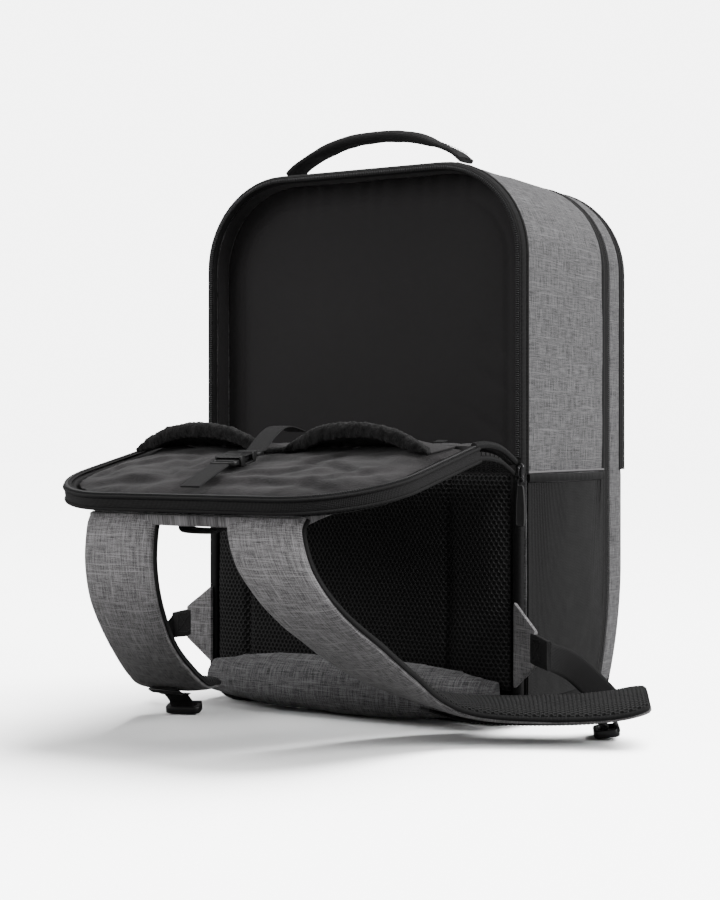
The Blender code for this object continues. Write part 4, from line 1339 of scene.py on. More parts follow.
rows = []
for i in range(241):
    x = span * (-1 + i / 120)
    rise = arch_rise(x)
    tall = 0.0050 + 0.0085 * min(1.0, rise / 0.012)
    fuzz = 0.0005 * noise.noise(Vector((x * 260, 0.0, 0.0)))
    ring = rounded(0.0085, tall + fuzz, 22, 2.4)
    middle = Vector((x, MOUTH - 0.0042, FLAP_COIL + 0.0094 - tall / 2 + rise))
    rows.append([middle + Vector((0.0, a, b)) for a, b in ring])


def pile_relief(p):
    return waves(p, 0.0022, 0.0011, 4.0) + waves(p, 0.005, 0.0007) + waves(p, 0.016, 0.0006, 8.0)


trim_bm = rippled(swept(rows), pile_relief)
pile_band = new_piece("sleeve_pile", turned(trim_bm, FLAP), pile, "flap", ["pocket_trim"], crease=0)

# Closing the flap would press the pockets flat against the divider; here each only gets a mesh of its own.
for pressed in (sleeves, pile_band):
    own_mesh(pressed)

# A label tab in the seam, plain.
tab_bm = bmesh.new()
tab_bm.from_mesh(little_block((0.010, 0.009, 0.0010), 0.0003))
lay_flat(tab_bm, (0, 1))
tab_place = FLAP @ Matrix.Translation((0.138, FLAP_START - 0.010, FLAP_COIL + 0.0060))
new_piece("seam_tab", turned(tab_bm, tab_place), binding, "flap", ())

# %% [markdown]
# ## Webbing, buckle and stitching
# Webbing is a flat band with rounded selvedges. Stitching matters as much: a box of short threads is
# what holds each end. Each thread is one small rounded block, copied along the seam line.


# %% Ribbon and stitch helpers
def smooth_line(points, steps):
    """A smooth curve through points of any size, Catmull-Rom."""
    found = []
    for i in range(len(points) - 1):
        p = [Vector(points[max(0, min(len(points) - 1, i + k))]) for k in (-1, 0, 1, 2)]
        for s in range(steps):
            t = s / steps
            square = (2 * p[0] - 5 * p[1] + 4 * p[2] - p[3]) * t * t
            cube = (3 * p[1] - p[0] - 3 * p[2] + p[3]) * t**3
            found.append(0.5 * (2 * p[1] + (p[2] - p[0]) * t + square + cube))
    return found + [Vector(points[-1])]


def frames_of(route, across):
    """For each point of a route: the point, its width's direction and its outward direction."""
    found = []
    for i, point in enumerate(route):
        along = (route[min(i + 1, len(route) - 1)] - route[max(i - 1, 0)]).normalized()
        side = Vector(across[i]).normalized()
        found.append((point, side, along.cross(side).normalized()))
    return found


def ribbon(places, width, thick, lift=0.0, steps=12, power=5.0):
    """A band of webbing along frames: lift moves it outwards."""
    ring = rounded(width, thick, steps, power)
    return swept([[p + side * a + out * (b + lift) for a, b in ring] for p, side, out in places])


stitch = little_block((0.0024, 0.0006, 0.0006), 0.00018)


def stitched(lines, outs, pitch=0.0034):
    """Threads along lines; outs gives each line's outward direction, one or one per point."""
    bm = bmesh.new()
    for points, out in zip(lines, outs):
        each = out if isinstance(out, list) else [out] * len(points)
        matrices = []
        for place, way in along_line(points, pitch):
            near = min(range(len(points)), key=lambda i: (points[i] - place).length_squared)
            matrices.append(aimed(place, way, each[near]))
        add_copies(bm, stitch, matrices)
    return bm


def box_stitch(place, side, along, out, width, length):
    """The lines of a sewn box with its cross."""
    signs = ((-1, -1), (1, -1), (1, 1), (-1, 1))
    corners = [place + side * a * width / 2 + along * b * length / 2 for a, b in signs]
    lines = [[corners[i], corners[(i + 1) % 4]] for i in range(4)]
    return lines + [[corners[0], corners[2]], [corners[1], corners[3]]], [out] * 6


# %% Hold-down strap
seat, mouth = FLAP_COIL + 0.0130, FLAP_START - 0.100
WEBBING_WIDE, WEBBING_THICK = 0.020, 0.0016
NEAR_ROUTE = [
    (0, FLAP_END + 0.012, FLAP_COIL + 0.0048),
    (0, -0.222, FLAP_COIL + 0.0082),
    (0, mouth - 0.034, seat),
]
FAR_ROUTE = [
    (0, mouth + 0.0180, seat),
    (0, FLAP_START - 0.058, seat + 0.0105),
    (0, FLAP_START - 0.040, seat + 0.0122),
    (0, FLAP_START - 0.018, FLAP_COIL + 0.0165),
]


def flap_webbing(name, route, node):
    line = smooth_line(route, 8)
    bm = ribbon(frames_of(line, [Vector((1, 0, 0))] * len(line)), WEBBING_WIDE, WEBBING_THICK)
    return new_piece(name, turned(bm, FLAP), webbing, "flap", [node])


flap_webbing("hold_strap_near", NEAR_ROUTE, "hold_strap_front")
far_strap = flap_webbing("hold_strap_far", FAR_ROUTE, "hold_strap_rear")
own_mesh(far_strap)
tack_bm = bmesh.new()
tack_spots = [(x, y, FLAP_COIL + 0.0062) for y in (-0.2335, -0.2318) for x in spaced(-0.008, 0.008, 7)]
add_copies(tack_bm, stitch, [Matrix.Translation(spot) for spot in tack_spots])
new_piece("strap_bartack", turned(tack_bm, FLAP), thread, "flap", ())

# %% [markdown]
# The side-release buckle has a hollow socket with two side windows and a plug with two springy arms
# and a bar for the webbing. Its eyes are plates with a window, and the rest are bevelled blocks.


# %% Side-release buckle
def plate_with_window(outline, window, low, high, bevel):
    """A plate with a hole: a four-cornered section is swept round between the two outlines."""
    rings = []
    for points, z in ((outline, low), (outline, high), (window, high), (window, low)):
        rings.append([Vector((x, y, z)) for x, y in points])
    sections = [list(section) for section in zip(*rings)]
    bm = swept(sections + sections[:1])
    sharp = [edge for edge in bm.edges if len(edge.link_faces) == 2 and edge.calc_face_angle(0) > 0.6]
    return bevelled(bm, sharp, bevel)


def oblong(x, y, width, length, power=4.0, steps=24):
    return [(x + a, y + b) for a, b in rounded(width, length, steps, power)]


def joined(parts):
    bm = bmesh.new()
    for part in parts:
        mesh = bpy.data.meshes.new("part")
        part.to_mesh(mesh)
        part.free()
        bm.from_mesh(mesh)
        bpy.data.meshes.remove(mesh)
    return bm


def bar(low, high, bevel, segments=2):
    bm = bmesh.new()
    bmesh.ops.create_cube(bm, size=1.0)
    size = [b - a for a, b in zip(low, high)]
    bmesh.ops.scale(bm, vec=size, verts=bm.verts)
    bmesh.ops.translate(bm, vec=[(a + b) / 2 for a, b in zip(low, high)], verts=bm.verts)
    return bevelled(bm, bm.edges[:], bevel, segments)


HALF_TALL, HALF_WIDE, WALL = 0.0044, 0.0132, 0.0016
low_z, high_z = seat - HALF_TALL, seat + HALF_TALL
socket_back, socket_front = mouth - 0.0215, mouth - 0.0005
shell_parts = [
    bar((-HALF_WIDE, socket_back, seat + 0.0022), (HALF_WIDE, socket_front, high_z), 0.0010),
    bar((-HALF_WIDE, socket_back, low_z), (HALF_WIDE, socket_front, seat - 0.0024), 0.0010),
]
for first_y, last_y in ((socket_back, mouth - 0.0150), (mouth - 0.0045, socket_front)):
    for low_x in (-HALF_WIDE, HALF_WIDE - WALL):
        shell_parts.append(bar((low_x, first_y, low_z), (low_x + WALL, last_y, high_z), 0.0006))
eye, slot = oblong(0, mouth - 0.0265, 0.0262, 0.0110), oblong(0, mouth - 0.0268, 0.0205, 0.0050)
shell_parts.append(plate_with_window(eye, slot, seat - 0.0018, seat + 0.0018, 0.0005))
grip_low = (-0.0070, mouth - 0.0150, high_z - 0.0004)
grip_high = (0.0070, mouth - 0.0060, high_z + 0.0004)
shell_parts.append(bar(grip_low, grip_high, 0.0003))
buckle_bm = lay_flat(joined(shell_parts), (0, 1))
new_piece("buckle_shell", turned(buckle_bm, FLAP), plastic, "flap", ["buckle_socket"])

ARM = ((0.0078, 0.0010), (0.0092, 0.0070), (0.0108, 0.0125), (0.0098, 0.0175), (0.0070, 0.0200))
tongue_low, tongue_high = (-0.0018, mouth - 0.0190, seat - 0.0012), (0.0018, mouth + 0.0010, seat + 0.0012)
plug_parts = [bar(tongue_low, tongue_high, 0.0005)]
for side in (-1, 1):
    line = smooth_line([(side * x, mouth - back, seat) for x, back in ARM], 4)
    places = frames_of(line, [Vector((0, 0, 1))] * len(line))
    plug_parts.append(ribbon(places, 0.0030, 0.0018, 0.0, 8, 3.0))
stop_low, stop_high = (-0.0115, mouth - 0.0002, seat - 0.0030), (0.0115, mouth + 0.0040, seat + 0.0030)
plug_parts.append(bar(stop_low, stop_high, 0.0010))
eye, slot = oblong(0, mouth + 0.0100, 0.0235, 0.0130), oblong(0, mouth + 0.0125, 0.0190, 0.0036)
plug_parts.append(plate_with_window(eye, slot, seat - 0.0016, seat + 0.0016, 0.0005))
step_low, step_high = (-0.0100, mouth + 0.0066, seat + 0.0004), (0.0100, mouth + 0.0086, seat + 0.0030)
plug_parts.append(bar(step_low, step_high, 0.0006))
plug_bm = lay_flat(bare(joined(plug_parts)), (0, 1))
new_piece("buckle_tongue", turned(plug_bm, FLAP), plastic, "plug", ["buckle_plug"])

# %% [markdown]
# ## The fold
# Between the bag and the flat part of the flap the cloth itself bends. Two layers show: plush on top
# and spacer mesh below, with a bound edge at each side. They cross the hinge, so they are made in
# place and ride on neither body, and small folds lie across the bend.

# %% Fold layers
FOLD_LINE = [(-0.1195, 0.2330), (-0.1450, 0.2440), (-0.1700, 0.2480), (-0.1900, 0.2475), (-0.1945, 0.2466)]
fold_route = smooth_line([(0.0, y, z) for y, z in FOLD_LINE], 6)


def fold_layer(offset, wrinkle, reach=HALF_WIDTH - 0.004, seed=0.0):
    rows = []
    for i, point in enumerate(fold_route):
        along = (fold_route[min(i + 1, len(fold_route) - 1)] - fold_route[max(i - 1, 0)]).normalized()
        up = Vector((1, 0, 0)).cross(along).normalized()
        up = up if up.z > 0 else -up
        share = i / (len(fold_route) - 1)
        row = []
        for x in spaced(-reach, reach, 90):
            fine = noise.noise(Vector((x / 0.012, share * 1.5, seed)))
            broad = 0.7 * noise.noise(Vector((x / 0.05, share, seed)))
            crumple = wrinkle * math.sin(math.pi * share) * (fine + broad)
            row.append(point + Vector((x, 0.0, 0.0)) + up * (offset + crumple))
        rows.append(row)
    return swept(rows, loop=False)


def crossing(bm, name, material, cad=()):
    piece = new_piece(name, bm, material, None, cad)
    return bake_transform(piece)


top_bm = facing(fold_layer(0.0, 0.0022), Vector((0, 0, 1)))
thickened(top_bm, 0.0040)
crossing(top_bm, "fold_plush", pocket_lining, ["fold_panel"])
low_bm = facing(fold_layer(-0.0110, 0.0016, HALF_WIDTH - 0.005, 3.0), Vector((0, 0, -1)))
thickened(low_bm, 0.0040)
crossing(low_bm, "fold_mesh", spacer_mesh, ())
for side, name in ((-1, "left"), (1, "right")):
    for label, drop, size in (("upper", -0.0005, 0.0062), ("lower", -0.0118, 0.0046)):
        rows = []
        for i, point in enumerate(fold_route):
            ring = rounded(size, size, 10, 2.2)
            base = point + Vector((side * (HALF_WIDTH - 0.0035), 0.0, drop))
            rows.append([base + Vector((a, 0.0, b)) for a, b in ring])
        crossing(swept(rows), f"fold_edge_{label}_{name}", binding, ())

# %% [markdown]
# ## Shoulder straps
# Each strap is a long padded band: grey cloth outside, black mesh inside, and a bound edge where they
# meet. Both hang from the flap's free edge, touch down, and run back along the floor, so their route
# is a curve through a few chosen points, with the width's direction chosen at each. The top of a
# strap is sewn to the flap and the rest swings; the cloth is made in place and rides on neither body.

# %% Strap routes
STRAP_WIDTH = 0.074
STRAP_ROUTES = {
    "right": [
        ((0.072, -0.3545, 0.1905), (1.0, 0.0, 0.0)),
        ((0.072, -0.3600, 0.1790), (1.0, 0.0, 0.0)),
        ((0.086, -0.3650, 0.1500), (1.0, 0.0, 0.0)),
        ((0.107, -0.3540, 0.1190), (0.98, -0.10, 0.05)),
        ((0.121, -0.3150, 0.0880), (0.95, -0.20, 0.10)),
        ((0.127, -0.2650, 0.0600), (0.90, -0.35, 0.10)),
        ((0.138, -0.2200, 0.0400), (0.72, -0.65, 0.05)),
        ((0.160, -0.1860, 0.0290), (0.58, -0.80, -0.04)),
        ((0.210, -0.1560, 0.0268), (0.48, -0.88, -0.09)),
        ((0.258, -0.1310, 0.0300), (0.45, -0.89, -0.12)),
        ((0.289, -0.1150, 0.0370), (0.45, -0.89, -0.12)),
    ],
    "left": [
        ((-0.072, -0.3545, 0.1905), (1.0, 0.0, 0.0)),
        ((-0.072, -0.3600, 0.1790), (1.0, 0.0, 0.0)),
        ((-0.068, -0.3670, 0.1500), (1.0, 0.0, 0.0)),
        ((-0.066, -0.3620, 0.1180), (1.0, 0.0, 0.0)),
        ((-0.074, -0.3340, 0.0850), (1.0, 0.0, -0.04)),
        ((-0.092, -0.2900, 0.0580), (0.98, 0.15, -0.06)),
        ((-0.112, -0.2450, 0.0380), (0.95, 0.28, -0.04)),
        ((-0.124, -0.2180, 0.0325), (0.93, 0.36, 0.0)),
        ((-0.136, -0.1920, 0.0285), (0.92, 0.38, 0.0)),
    ],
}


def strap_places(name, steps=9):
    chosen = STRAP_ROUTES[name]
    route = smooth_line([place for place, _ in chosen], steps)
    return frames_of(route, smooth_line([way for _, way in chosen], steps))


def strap_width(i, count, steps=9):
    """The strap narrows and rounds off over its last few centimetres."""
    left = (count - 1 - i) / (steps * 0.72)
    return STRAP_WIDTH * (0.56 + 0.44 * math.sqrt(max(0.0, 1 - (1 - min(1.0, left)) ** 2)))


def strap_skin(places, thick, dome, outer, seed):
    """Half of the padded section: a domed face with its edges rolled in towards the other half."""
    rows = []
    count = len(places)
    for i, (point, side, out) in enumerate(places):
        half = strap_width(i, count) / 2 - 0.0016
        row = []
        for k in range(25):
            angle = math.pi * k / 24
            a = -math.cos(angle)
            height = thick * min(1.0, math.sin(angle) ** 0.45) + dome * (1 - a * a)
            slack = 0.0010 * noise.noise(Vector((a * 1.2, i * 0.16, seed)))
            off = 0.0006 + height + slack * math.sin(angle)
            row.append(point + side * (half * a) + out * outer * off)
        for a in (0.9, 0.3, -0.3, -0.9):
            row.append(point + side * (half * a) + out * outer * 0.0006)
        rows.append(row)
    return rippled(swept(rows), lambda p: waves(p, 0.020, 0.0005, seed))


def strap_cross(bm, name, material, cad, side):
    """A strap piece, named for its side; it is made in place and rides on no body."""
    piece = new_piece(f"{name}_{side}", bm, material, None, cad)
    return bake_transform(piece)


for side, seed in (("left", 3.0), ("right", 7.0)):
    places = strap_places(side)
    count = len(places)
    skin = strap_skin(places, 0.0064, 0.0010, 1, seed)
    face = strap_cross(skin, "strap_cloth", strap_heather, [f"strap_face_{side}"], side)
    skin = strap_skin(places, 0.0052, 0.0006, -1, seed + 1)
    strap_cross(skin, "strap_lining", strap_mesh, [f"strap_mesh_{side}"], side)
    for edge in (-1, 1):
        rows = []
        for i, (point, width_way, out) in enumerate(places):
            middle = point + width_way * edge * (strap_width(i, count) / 2 - 0.0010)
            rows.append([middle + width_way * a + out * b for a, b in rounded(0.0030, 0.0042, 10, 2.4)])
        label = "inner" if edge < 0 else "outer"
        strap_cross(swept(rows), f"strap_binding_{label}", binding, (), side)
    length = sum((b[0] - a[0]).length for a, b in zip(places, places[1:]))
    print(side, "strap is", round(length, 3), "m long")

# %% [markdown]
# A strip of webbing is sewn along the outside of each strap's lower half and carries the adjuster: a
# three-bar ladder lock. A flat keeper sits where the webbing starts.


# %% Strap webbing, keepers and ladder locks
def lock_bm(length, width, height):
    """A ladder lock: a frame with rounded corners, a raised grip bar and a middle bar."""
    outline = oblong(0, 0, length, width, 5.0)
    window = oblong(0, 0, length - 0.0075, width - 0.0085, 5.0)
    middle_half, grip_half = width / 2 - 0.0030, width / 2 - 0.0012
    grip_low = (length / 2 - 0.0042, -grip_half, height * 0.55)
    grip_high = (length / 2 + 0.0002, grip_half, height + 0.0012)
    return joined([
        plate_with_window(outline, window, 0.0, height, 0.0008),
        bar((-0.0014, -middle_half, 0.0006), (0.0014, middle_half, height * 0.75), 0.0006),
        bar(grip_low, grip_high, 0.0009),
    ])


for side, first in (("left", 17), ("right", 18)):
    low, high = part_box(f"ladder_lock_{side}")
    coarse = strap_places(side, 3)
    tail = coarse[first : len(coarse) - 3]
    fine = smooth_line([place[0] for place in tail], 4)
    ways = smooth_line([place[1] for place in tail], 4)
    strip = frames_of(fine, ways)
    bm = ribbon(strip, 0.0245, 0.0017, 0.0107)
    body, node = f"strap_{side}", f"strap_webbing_{side}"
    new_piece(f"adjuster_webbing_{side}", bm, webbing, body, [node])
    seams = [[p + w * edge + o * 0.0118 for p, w, o in strip] for edge in (-0.0100, 0.0100)]
    bm = stitched(seams, [[o for _, _, o in strip]] * 2)
    new_piece(f"adjuster_stitching_{side}", bm, thread, f"strap_{side}", ())
    p, w, o = strip[2]
    keeper = lay_flat(bar((-0.0055, -0.0150, 0.0), (0.0055, 0.0150, 0.0022), 0.0008), (0, 1))
    turn = Matrix((w.cross(o), w, o)).transposed().to_4x4()
    keeper = turned(keeper, Matrix.Translation(p + o * 0.0112) @ turn)
    new_piece(f"webbing_keeper_{side}", keeper, plastic, f"strap_{side}", ())
    run = coarse[-1][0] - coarse[-5][0]
    flat = Vector((run.x, run.y, 0)).normalized()
    way = Matrix((flat, Vector((-flat.y, flat.x, 0)), Vector((0, 0, 1)))).transposed().to_4x4()
    size = (0.020, 0.032) if side == "left" else (0.022, 0.034)
    middle = (low + high) / 2
    bm = lay_flat(bare(lock_bm(*size, min(0.0068, high.z - low.z - 0.0014))), (0, 1))
    lean = Matrix.Rotation(math.radians(-7), 4, "Y")
    bm = turned(bm, Matrix.Translation((middle.x, middle.y, low.z + 0.0022)) @ way @ lean)
    lock_top = Vector((middle.x, middle.y, low.z + 0.0060))
    last, last_way = strip[-1][0], strip[-1][2]
    hang_route = [
        strip[-4][0] + strip[-4][2] * 0.0115,
        (last + last_way * 0.0125 + lock_top) / 2,
        lock_top - flat * 0.004,
        lock_top + flat * 0.008,
    ]
    hang_line = smooth_line(hang_route, 6)
    across = [way.to_3x3() @ Vector((0, 1, 0))] * len(hang_line)
    hang = ribbon(frames_of(hang_line, across), 0.0220, WEBBING_THICK)
    new_piece(f"adjuster_tail_{side}", hang, webbing, f"strap_{side}", ())
    new_piece(f"adjuster_lock_{side}", bm, plastic, f"strap_{side}", [f"ladder_lock_{side}"])

# %% [markdown]
# ## Yoke, grab loop and handle
# Under the flap's free edge a grey yoke takes the load of both straps and a small black grab loop. The
# handle on top is a padded roll of black cloth, thick in the middle and flat at its sewn ends.

# %% Yoke and grab loop
yoke_low = FLAP_COIL - 0.0238 - 0.0030
yoke_bm = bar((-0.104, FLAP_END + 0.0060, yoke_low), (0.104, FLAP_END + 0.062, yoke_low + 0.0095), 0.0014)
long_edges = [e for e in yoke_bm.edges if e.calc_length() > 0.02]
bmesh.ops.subdivide_edges(yoke_bm, edges=long_edges, cuts=14, use_grid_fill=True)
rippled(yoke_bm, lambda p: waves(p, 0.020, 0.0006))
turned(lay_flat(yoke_bm, (0, 1)), FLAP)
new_piece("yoke_cloth", yoke_bm, strap_heather, "flap", ["strap_yoke"])
loop_top = yoke_low - SEAM
half_loop = [(0.014, 0, loop_top - 0.0070), (0.0195, 0, loop_top - 0.0035), (0.016, 0, loop_top)]
loop_line = [(-x, y, z) for x, y, z in reversed(half_loop)] + half_loop
loop_route = [point + Vector((0, FLAP_END + 0.023, 0)) for point in smooth_line(loop_line, 6)]
loop_bm = ribbon(frames_of(loop_route, [Vector((0, 1, 0))] * len(loop_route)), 0.0150, 0.0022)
new_piece("grab_loop_webbing", turned(loop_bm, FLAP), webbing, "flap", ["grab_loop"])

# %% Handle
HANDLE_Y, HANDLE_HALF, HANDLE_RISE = -0.075, 0.094, 0.0260
pivot_z = top_at(HANDLE_Y) + 0.006


def handle_rise(bend):
    """Height of the roll's middle line. bend is 0 in the middle and 1 at the sewn ends."""
    return pivot_z + 0.0020 + HANDLE_RISE * (1 - bend**2.2)


rows = []
for i in range(81):
    across_share = -1 + i / 40
    bend = abs(across_share)
    x = HANDLE_HALF * across_share
    z = handle_rise(bend) - 0.0022 * max(0.0, (bend - 0.85) / 0.15) ** 2
    padded_part = 1 / (1 + math.exp((bend - 0.62) / 0.035))
    tall = 0.0052 + 0.0052 * padded_part
    wide = 0.0235 - 0.0020 * padded_part + 0.0035 * bend
    slope = math.atan(-HANDLE_RISE * 2.2 * bend**1.2 * math.copysign(1, across_share) / HANDLE_HALF)
    up = Vector((-math.sin(slope), 0, math.cos(slope)))
    power = 2.3 + 2.0 * (1 - padded_part)
    middle, ring = Vector((x, HANDLE_Y, z + 0.2 * tall)), rounded(wide, tall, 20, power)
    rows.append([middle + Vector((0, a, 0)) + up * b for a, b in ring])
handle_bm = rippled(swept(rows), lambda p: waves(p, 0.014, 0.0005) + waves(p, 0.005, 0.0002, 3.0))
# The handle takes rim_cloth, a lighter black than binding: painted light from the top lamp and a painted
# highlight on the roll.
handle = new_piece("handle_roll", handle_bm, rim_cloth, None, ["handle_grip"])
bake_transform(handle)
base_low, base_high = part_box("handle_base")
patch_bm = bar(tuple(base_low), tuple(base_high), 0.0006)
new_piece("handle_patch", lay_flat(patch_bm, (0, 1)), webbing, "bag_body", ["handle_base"])
lines, outs = [], []
for side in (-1, 1):
    for edge in (-0.0095, 0.0095):
        points = []
        for across_share in spaced(0.64, 0.98, 12):
            z = handle_rise(across_share) + 0.0042
            points.append(Vector((side * HANDLE_HALF * across_share, HANDLE_Y + edge, z)))
        lines.append(points)
        outs.append([Vector((side * 0.35, 0, 0.94))] * len(points))
handle_seams = new_piece("handle_stitching", stitched(lines, outs), thread, None, ())
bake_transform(handle_seams)

# %% [markdown]
# ## Wings and lower webbing
# A cloth triangle at each lower corner spreads the pull of the lower webbing. It is two layers of the
# grey cloth with a turned edge; the webbing is trapped in its tip by a patch with a box stitch.


# %% Wings, loops and lower webbing
WING_WAYS = {"right": Vector((0.85, -0.53, 0.0)).normalized(), "left": Vector((0.81, -0.05, 0.0))}


def wing_point(side, along, through, z):
    way = WING_WAYS[side]
    root, off = Vector((0.1635, RIM_Y - 0.0044, 0.0)), Vector((-way.y, way.x, 0)).normalized()
    place = root + way * along + off * through
    return Vector((-place.x if side == "left" else place.x, place.y, z))


for side in ("left", "right"):
    rows = []
    for i in range(19):
        share = i / 18
        low_z, high_z = 0.036 + 0.022 * share, 0.110 - 0.021 * share
        middle, half = (low_z + high_z) / 2, (high_z - low_z) / 2
        bulge = 0.0005 * math.sin(math.pi * share)
        ring = rounded(2 * half, 0.0038, 22, 6.0)
        deep = 1 + bulge * 100
        rows.append([wing_point(side, 0.034 * share, 0.0019 + b * deep, middle + a) for a, b in ring])
    bm = lay_flat(bare(rippled(swept(rows), lambda p: waves(p, 0.014, 0.0004))), (0, 2))
    new_piece(f"wing_cloth_{side}", bm, strap_heather, "bag_body", [f"wing_{side}"])
    rows = []
    for i in range(13):
        share = i / 12
        low_z, high_z = 0.0600 - 0.003 * share, 0.0870 - 0.005 * share
        ring = rounded(high_z - low_z, 0.0046, 18, 6.0)
        along, middle = 0.0283 + 0.0268 * share, (low_z + high_z) / 2
        rows.append([wing_point(side, along, 0.0019 + b, middle + a) for a, b in ring])
    new_piece(f"wing_patch_{side}", swept(rows), webbing, "bag_body", [f"wing_loop_{side}"])
    way = (wing_point(side, 1, 0, 0) - wing_point(side, 0, 0, 0)).normalized()
    out = (wing_point(side, 0, 1, 0) - wing_point(side, 0, 0, 0)).normalized()
    for turn_over in (-1, 1):
        spot = wing_point(side, 0.0380, 0.0019 + turn_over * 0.0026, 0.0730)
        lines, outs = box_stitch(spot, Vector((0, 0, 1)), way, out * turn_over, 0.018, 0.013)
        label = "front" if turn_over < 0 else "back"
        sewn = stitched(lines, outs, 0.0030)
        new_piece(f"wing_box_stitch_{label}_{side}", sewn, thread, "bag_body", ())
    start = wing_point(side, 0.0542, 0.002, 0.0695)
    if side == "right":
        route = [tuple(start), (0.2230, -0.1160, 0.0560), (0.2440, -0.0810, 0.0200)]
        ways = [(0.0, 0.0, 1.0), (0.45, 0.30, 0.8), (0.60, 0.30, 0.7)]
    else:
        route = [tuple(start), (-0.2060, -0.1400, 0.0480), (-0.1880, -0.1580, 0.0300)]
        ways = [(0.0, 0.0, 1.0), (-0.30, 0.10, 0.7), (-0.60, 0.20, 0.4)]
    line = smooth_line(route, 12)
    bm = ribbon(frames_of(line, smooth_line(ways, 12)), 0.0240, 0.0017)
    new_piece(f"pull_webbing_{side}", bm, webbing, f"webbing_{side}", [f"lower_webbing_{side}"])

# %% [markdown]
# ## Sliders and pulls
# A zip slider is a bridge over a flat shoe; a wire link joins it to a moulded rubber pull. The pull
# has a raised border round a sunk field, and tapers towards its eye. Both are modelled lying along X,
# at the size of their CAD node's box, and are placed five times.


# %% Slider and pull shapes
def slider_bm(length, width, height):
    """A shoe with a waist, and a bridge that arches over it. It lies along X with its top at +Z."""
    shoe = []
    for i in range(13):
        share = i / 12
        half = width / 2 * (1 - 0.22 * math.sin(math.pi * share) ** 2)
        x = length * (share - 0.5)
        rim = 0.45
        if 0 < share < 1:
            rim = math.sin(math.pi * min(1.0, share * 5, (1 - share) * 5) / 2) ** 0.5
        drop, ring = height * 0.18, rounded(2 * half, height * 0.60, 16, 4.0)
        shoe.append([Vector((x, a * rim, b * max(0.6, rim) - drop)) for a, b in ring])
    rise = ((-0.30, 0.05), (-0.20, 0.40), (0, 0.48), (0.24, 0.38), (0.34, 0.05))
    line = smooth_line([(a * length, 0, b * height) for a, b in rise], 5)
    places = frames_of(line, [Vector((0, 1, 0))] * len(line))
    bridge = ribbon(places, width * 0.36, height * 0.16, 0.0, 10, 3.0)
    return joined([swept(shoe), bridge])


def pull_bm(length, width, thick):
    """A rubber pull from its eye at the origin towards +X, with a raised border; link_bm makes its wire
    link.
    """
    outline = []
    for i in range(40):
        angle = 2 * math.pi * i / 40
        c, s = math.cos(angle), math.sin(angle)
        x = length / 2 + math.copysign(abs(c) ** 0.28, c) * length / 2
        taper = 0.72 + 0.28 * min(1.0, x / (0.5 * length))
        outline.append((x, math.copysign(abs(s) ** 0.28, s) * width / 2 * taper))
    bm = bmesh.new()
    verts = [bm.verts.new((x, y, -thick / 2)) for x, y in outline]
    made = bmesh.ops.extrude_face_region(bm, geom=[bm.faces.new(verts)])["geom"]
    top = [g for g in made if isinstance(g, bmesh.types.BMVert)]
    bmesh.ops.translate(bm, vec=(0, 0, thick), verts=top)
    bmesh.ops.recalc_face_normals(bm, faces=bm.faces)
    caps = [face for face in bm.faces if len(face.verts) > 8]
    for cap in caps:
        bmesh.ops.inset_region(bm, faces=[cap], thickness=width * 0.10, depth=0.0)
        bmesh.ops.inset_region(bm, faces=[cap], thickness=width * 0.035, depth=-thick * 0.16)
    rim = [
        edge
        for edge in bm.edges
        if len(edge.link_faces) == 2
        and 1.2 < edge.calc_face_angle(0) < 2.0
        and abs(abs(edge.verts[0].co.z) - thick / 2) < 1e-6
    ]
    return bevelled(bm, rim, thick * 0.20)


def link_bm(reach, width, wire):
    """The wire link between slider and pull, an oval ring about the origin in the XY plane."""
    ring = [(0.3 * reach + a, b) for a, b in rounded(reach, width, 24, 2.2)]
    rows = []
    for i in range(25):
        here, there = Vector((*ring[i % 24], 0)), Vector((*ring[(i + 1) % 24], 0))
        back = Vector((*ring[(i - 1) % 24], 0))
        way = (there - back).normalized()
        side = Vector((-way.y, way.x, 0))
        rows.append([here + side * a + Vector((0, 0, b)) for a, b in rounded(wire, wire, 8, 2.0)])
    return swept(rows)


def place_zip_parts(label, node_end, body_end, slider_way, pull_way, out):
    """Sets a slider along slider_way and a pull along pull_way, in the boxes of their CAD nodes."""
    kind = label.split("_")[0]
    slider_node, pull_node = f"{kind}_slider{node_end}", f"{kind}_pull{node_end}"
    slider_body, pull_body = f"{kind}_slider{body_end}", f"{kind}_pull{body_end}"
    out = Vector(out)
    low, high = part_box(slider_node)
    tall, wide, long_ = sorted(high - low)
    way = Vector(slider_way)
    turn = Matrix((way, out.cross(way), out)).transposed().to_4x4()
    bm = turned(slider_bm(long_, wide, tall * 1.05), Matrix.Translation((low + high) / 2) @ turn)
    bm = lay_flat(bare(bm), (0, 2))
    new_piece(f"{label}_slider", bm, slider_metal, slider_body, [slider_node])
    low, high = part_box(pull_node)
    joint = next(j for j in frame["joints"] if j["child"] == pull_body)
    pivot, way = Vector(joint["pos_m"]), Vector(pull_way)
    turn = Matrix((way, out.cross(way), out)).transposed().to_4x4()
    tall, wide, long_ = sorted(high - low)
    bm = pull_bm(long_ - EYE, wide * 1.12, tall * 1.30)
    bm = lay_flat(turned(bm, Matrix.Translation(pivot + way * EYE) @ turn), (0, 2))
    new_piece(f"{label}_pull", bm, rubber, pull_body, [pull_node])
    bm = turned(link_bm(0.0085, wide * 0.75, 0.0011), Matrix.Translation(pivot) @ turn)
    new_piece(f"{label}_link", bm, slider_metal, pull_body, ())


EYE = 0.0045
UP, DOWN, BACK_OUT = (0, 0, 1), (0, 0, -1), (0, -1, 0)
for side, way in (("left", (-1, 0, 0)), ("right", (1, 0, 0))):
    ends = (f"_{side}", f"_{side[0]}")
    place_zip_parts(f"flap_zip_{side}", *ends, UP, DOWN, BACK_OUT)
    place_zip_parts(f"main_zip_{side}", *ends, way, way, UP)
place_zip_parts("pocket_zip", "", "_b", (1, 0, 0), (-1, 0, 0), UP)

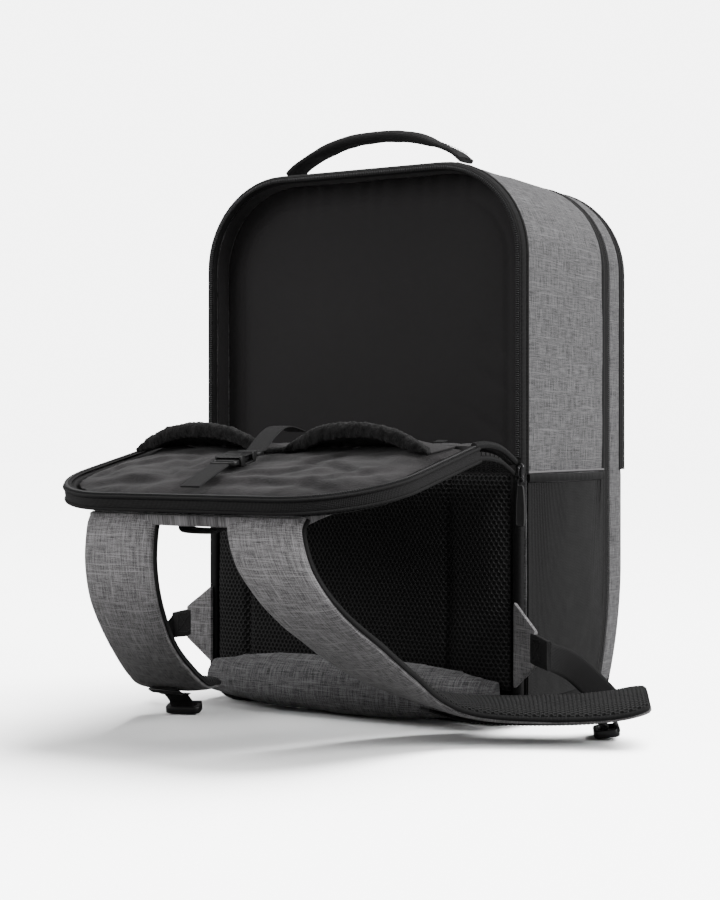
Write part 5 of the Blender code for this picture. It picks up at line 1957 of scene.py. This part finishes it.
# %% [markdown]
# ## The front shell
# The clamshell front is a grey frame between the main zip and the pocket zip, a black backing, and a
# swollen front panel in two parts with a sewn seam between them. The panels are mapped grids: their
# points crowd towards the outline, where the cloth turns in quickly to meet the zip.

# %% Front frame and backing
frame_rows = wall_rows(whole, 10, SHELL_Y, POCKET_ZIP_Y - SEAM, 0.0012, 0.0048, 0.0004)
frame_bm = rippled(swept(kept_above(frame_rows, 0.0008)), lambda p: waves(p, 0.050, 0.0004))
new_piece("front_frame_cloth", frame_bm, heather, "front_shell", ["front_frame"])


def backing_point(s, t):
    inset, y = 0.0054, POCKET_ZIP_Y - 0.0062
    top = top_at(y) - inset
    z = inset + (top - inset) * (0.5 + 0.5 * math.sin(0.5 * math.pi * t))
    x = s * half_at(z, inset, y)
    return tucked((x, y + waves((x, 0, z), 0.06, 0.0008, 5.0), z))


backing_bm = facing(panel(60, 80, backing_point), Vector((0, -1, 0)))
thickened(backing_bm, 0.0024)
new_piece("shell_backing", backing_bm, lining, "front_shell", ["front_backing"])


# %% Front panels
def eased(v):
    return math.sin(0.5 * math.pi * v)


def front_point(s, t, low, high, edge_y):
    z = low + (high - low) * (0.5 + 0.5 * eased(t))
    x = eased(s) * half_at(z, 0.0008, edge_y)
    gap = max(0.0, edge_gap(x, z, 0.0008, edge_y))
    reach = FRONT_Y - 0.0006 - edge_y
    turn = min(1.0, gap / 0.022)
    bulge = reach * (1 - (1 - turn) ** 3.2)
    seam = 0.0026 * math.exp(-(((z - POCKET_SEAM_Z) / 0.0040) ** 2))
    swell = waves((x, 0, z), 0.055, 0.0012, 9.0) * turn
    return tucked((x, min(FRONT_Y + 0.002, edge_y + bulge - seam * turn + swell), z))


edge = POCKET_ZIP_END + SEAM
upper_top = top_at(edge) - 0.0008
for part, low, high, edge_y, rows_up in (
    ("upper", POCKET_SEAM_Z, upper_top, edge, 90),
    ("lower", 0.0012, POCKET_SEAM_Z - SEAM, POCKET_ZIP_Y, 80),
):
    bm = panel(96, rows_up, lambda s, t: front_point(s, t, low, high, edge_y))
    thickened(facing(bm, Vector((0, 1, 0))), 0.0024)
    new_piece(f"front_cloth_{part}", bm, heather, "front_shell", [f"front_panel_{part}"])

# %% [markdown]
# ## Inside
# The main compartment shows when the front shell is open: two padded shelves that part it into bays,
# covered in a brushed loop cloth.

# %% Shelves
for node in ("shelf_lower", "shelf_upper"):
    low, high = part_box(node)
    shelf_bm = bar(tuple(low), tuple(high), 0.0040, 3)
    long_edges = [e for e in shelf_bm.edges if e.calc_length() > 0.03]
    bmesh.ops.subdivide_edges(shelf_bm, edges=long_edges, cuts=24, use_grid_fill=True)
    rippled(shelf_bm, lambda p: waves(p, 0.035, 0.0008) - 0.0003)
    shelf = new_piece(f"{node}_pad", lay_flat(shelf_bm, (0, 1)), shelf_cloth, "bag_body", [node])
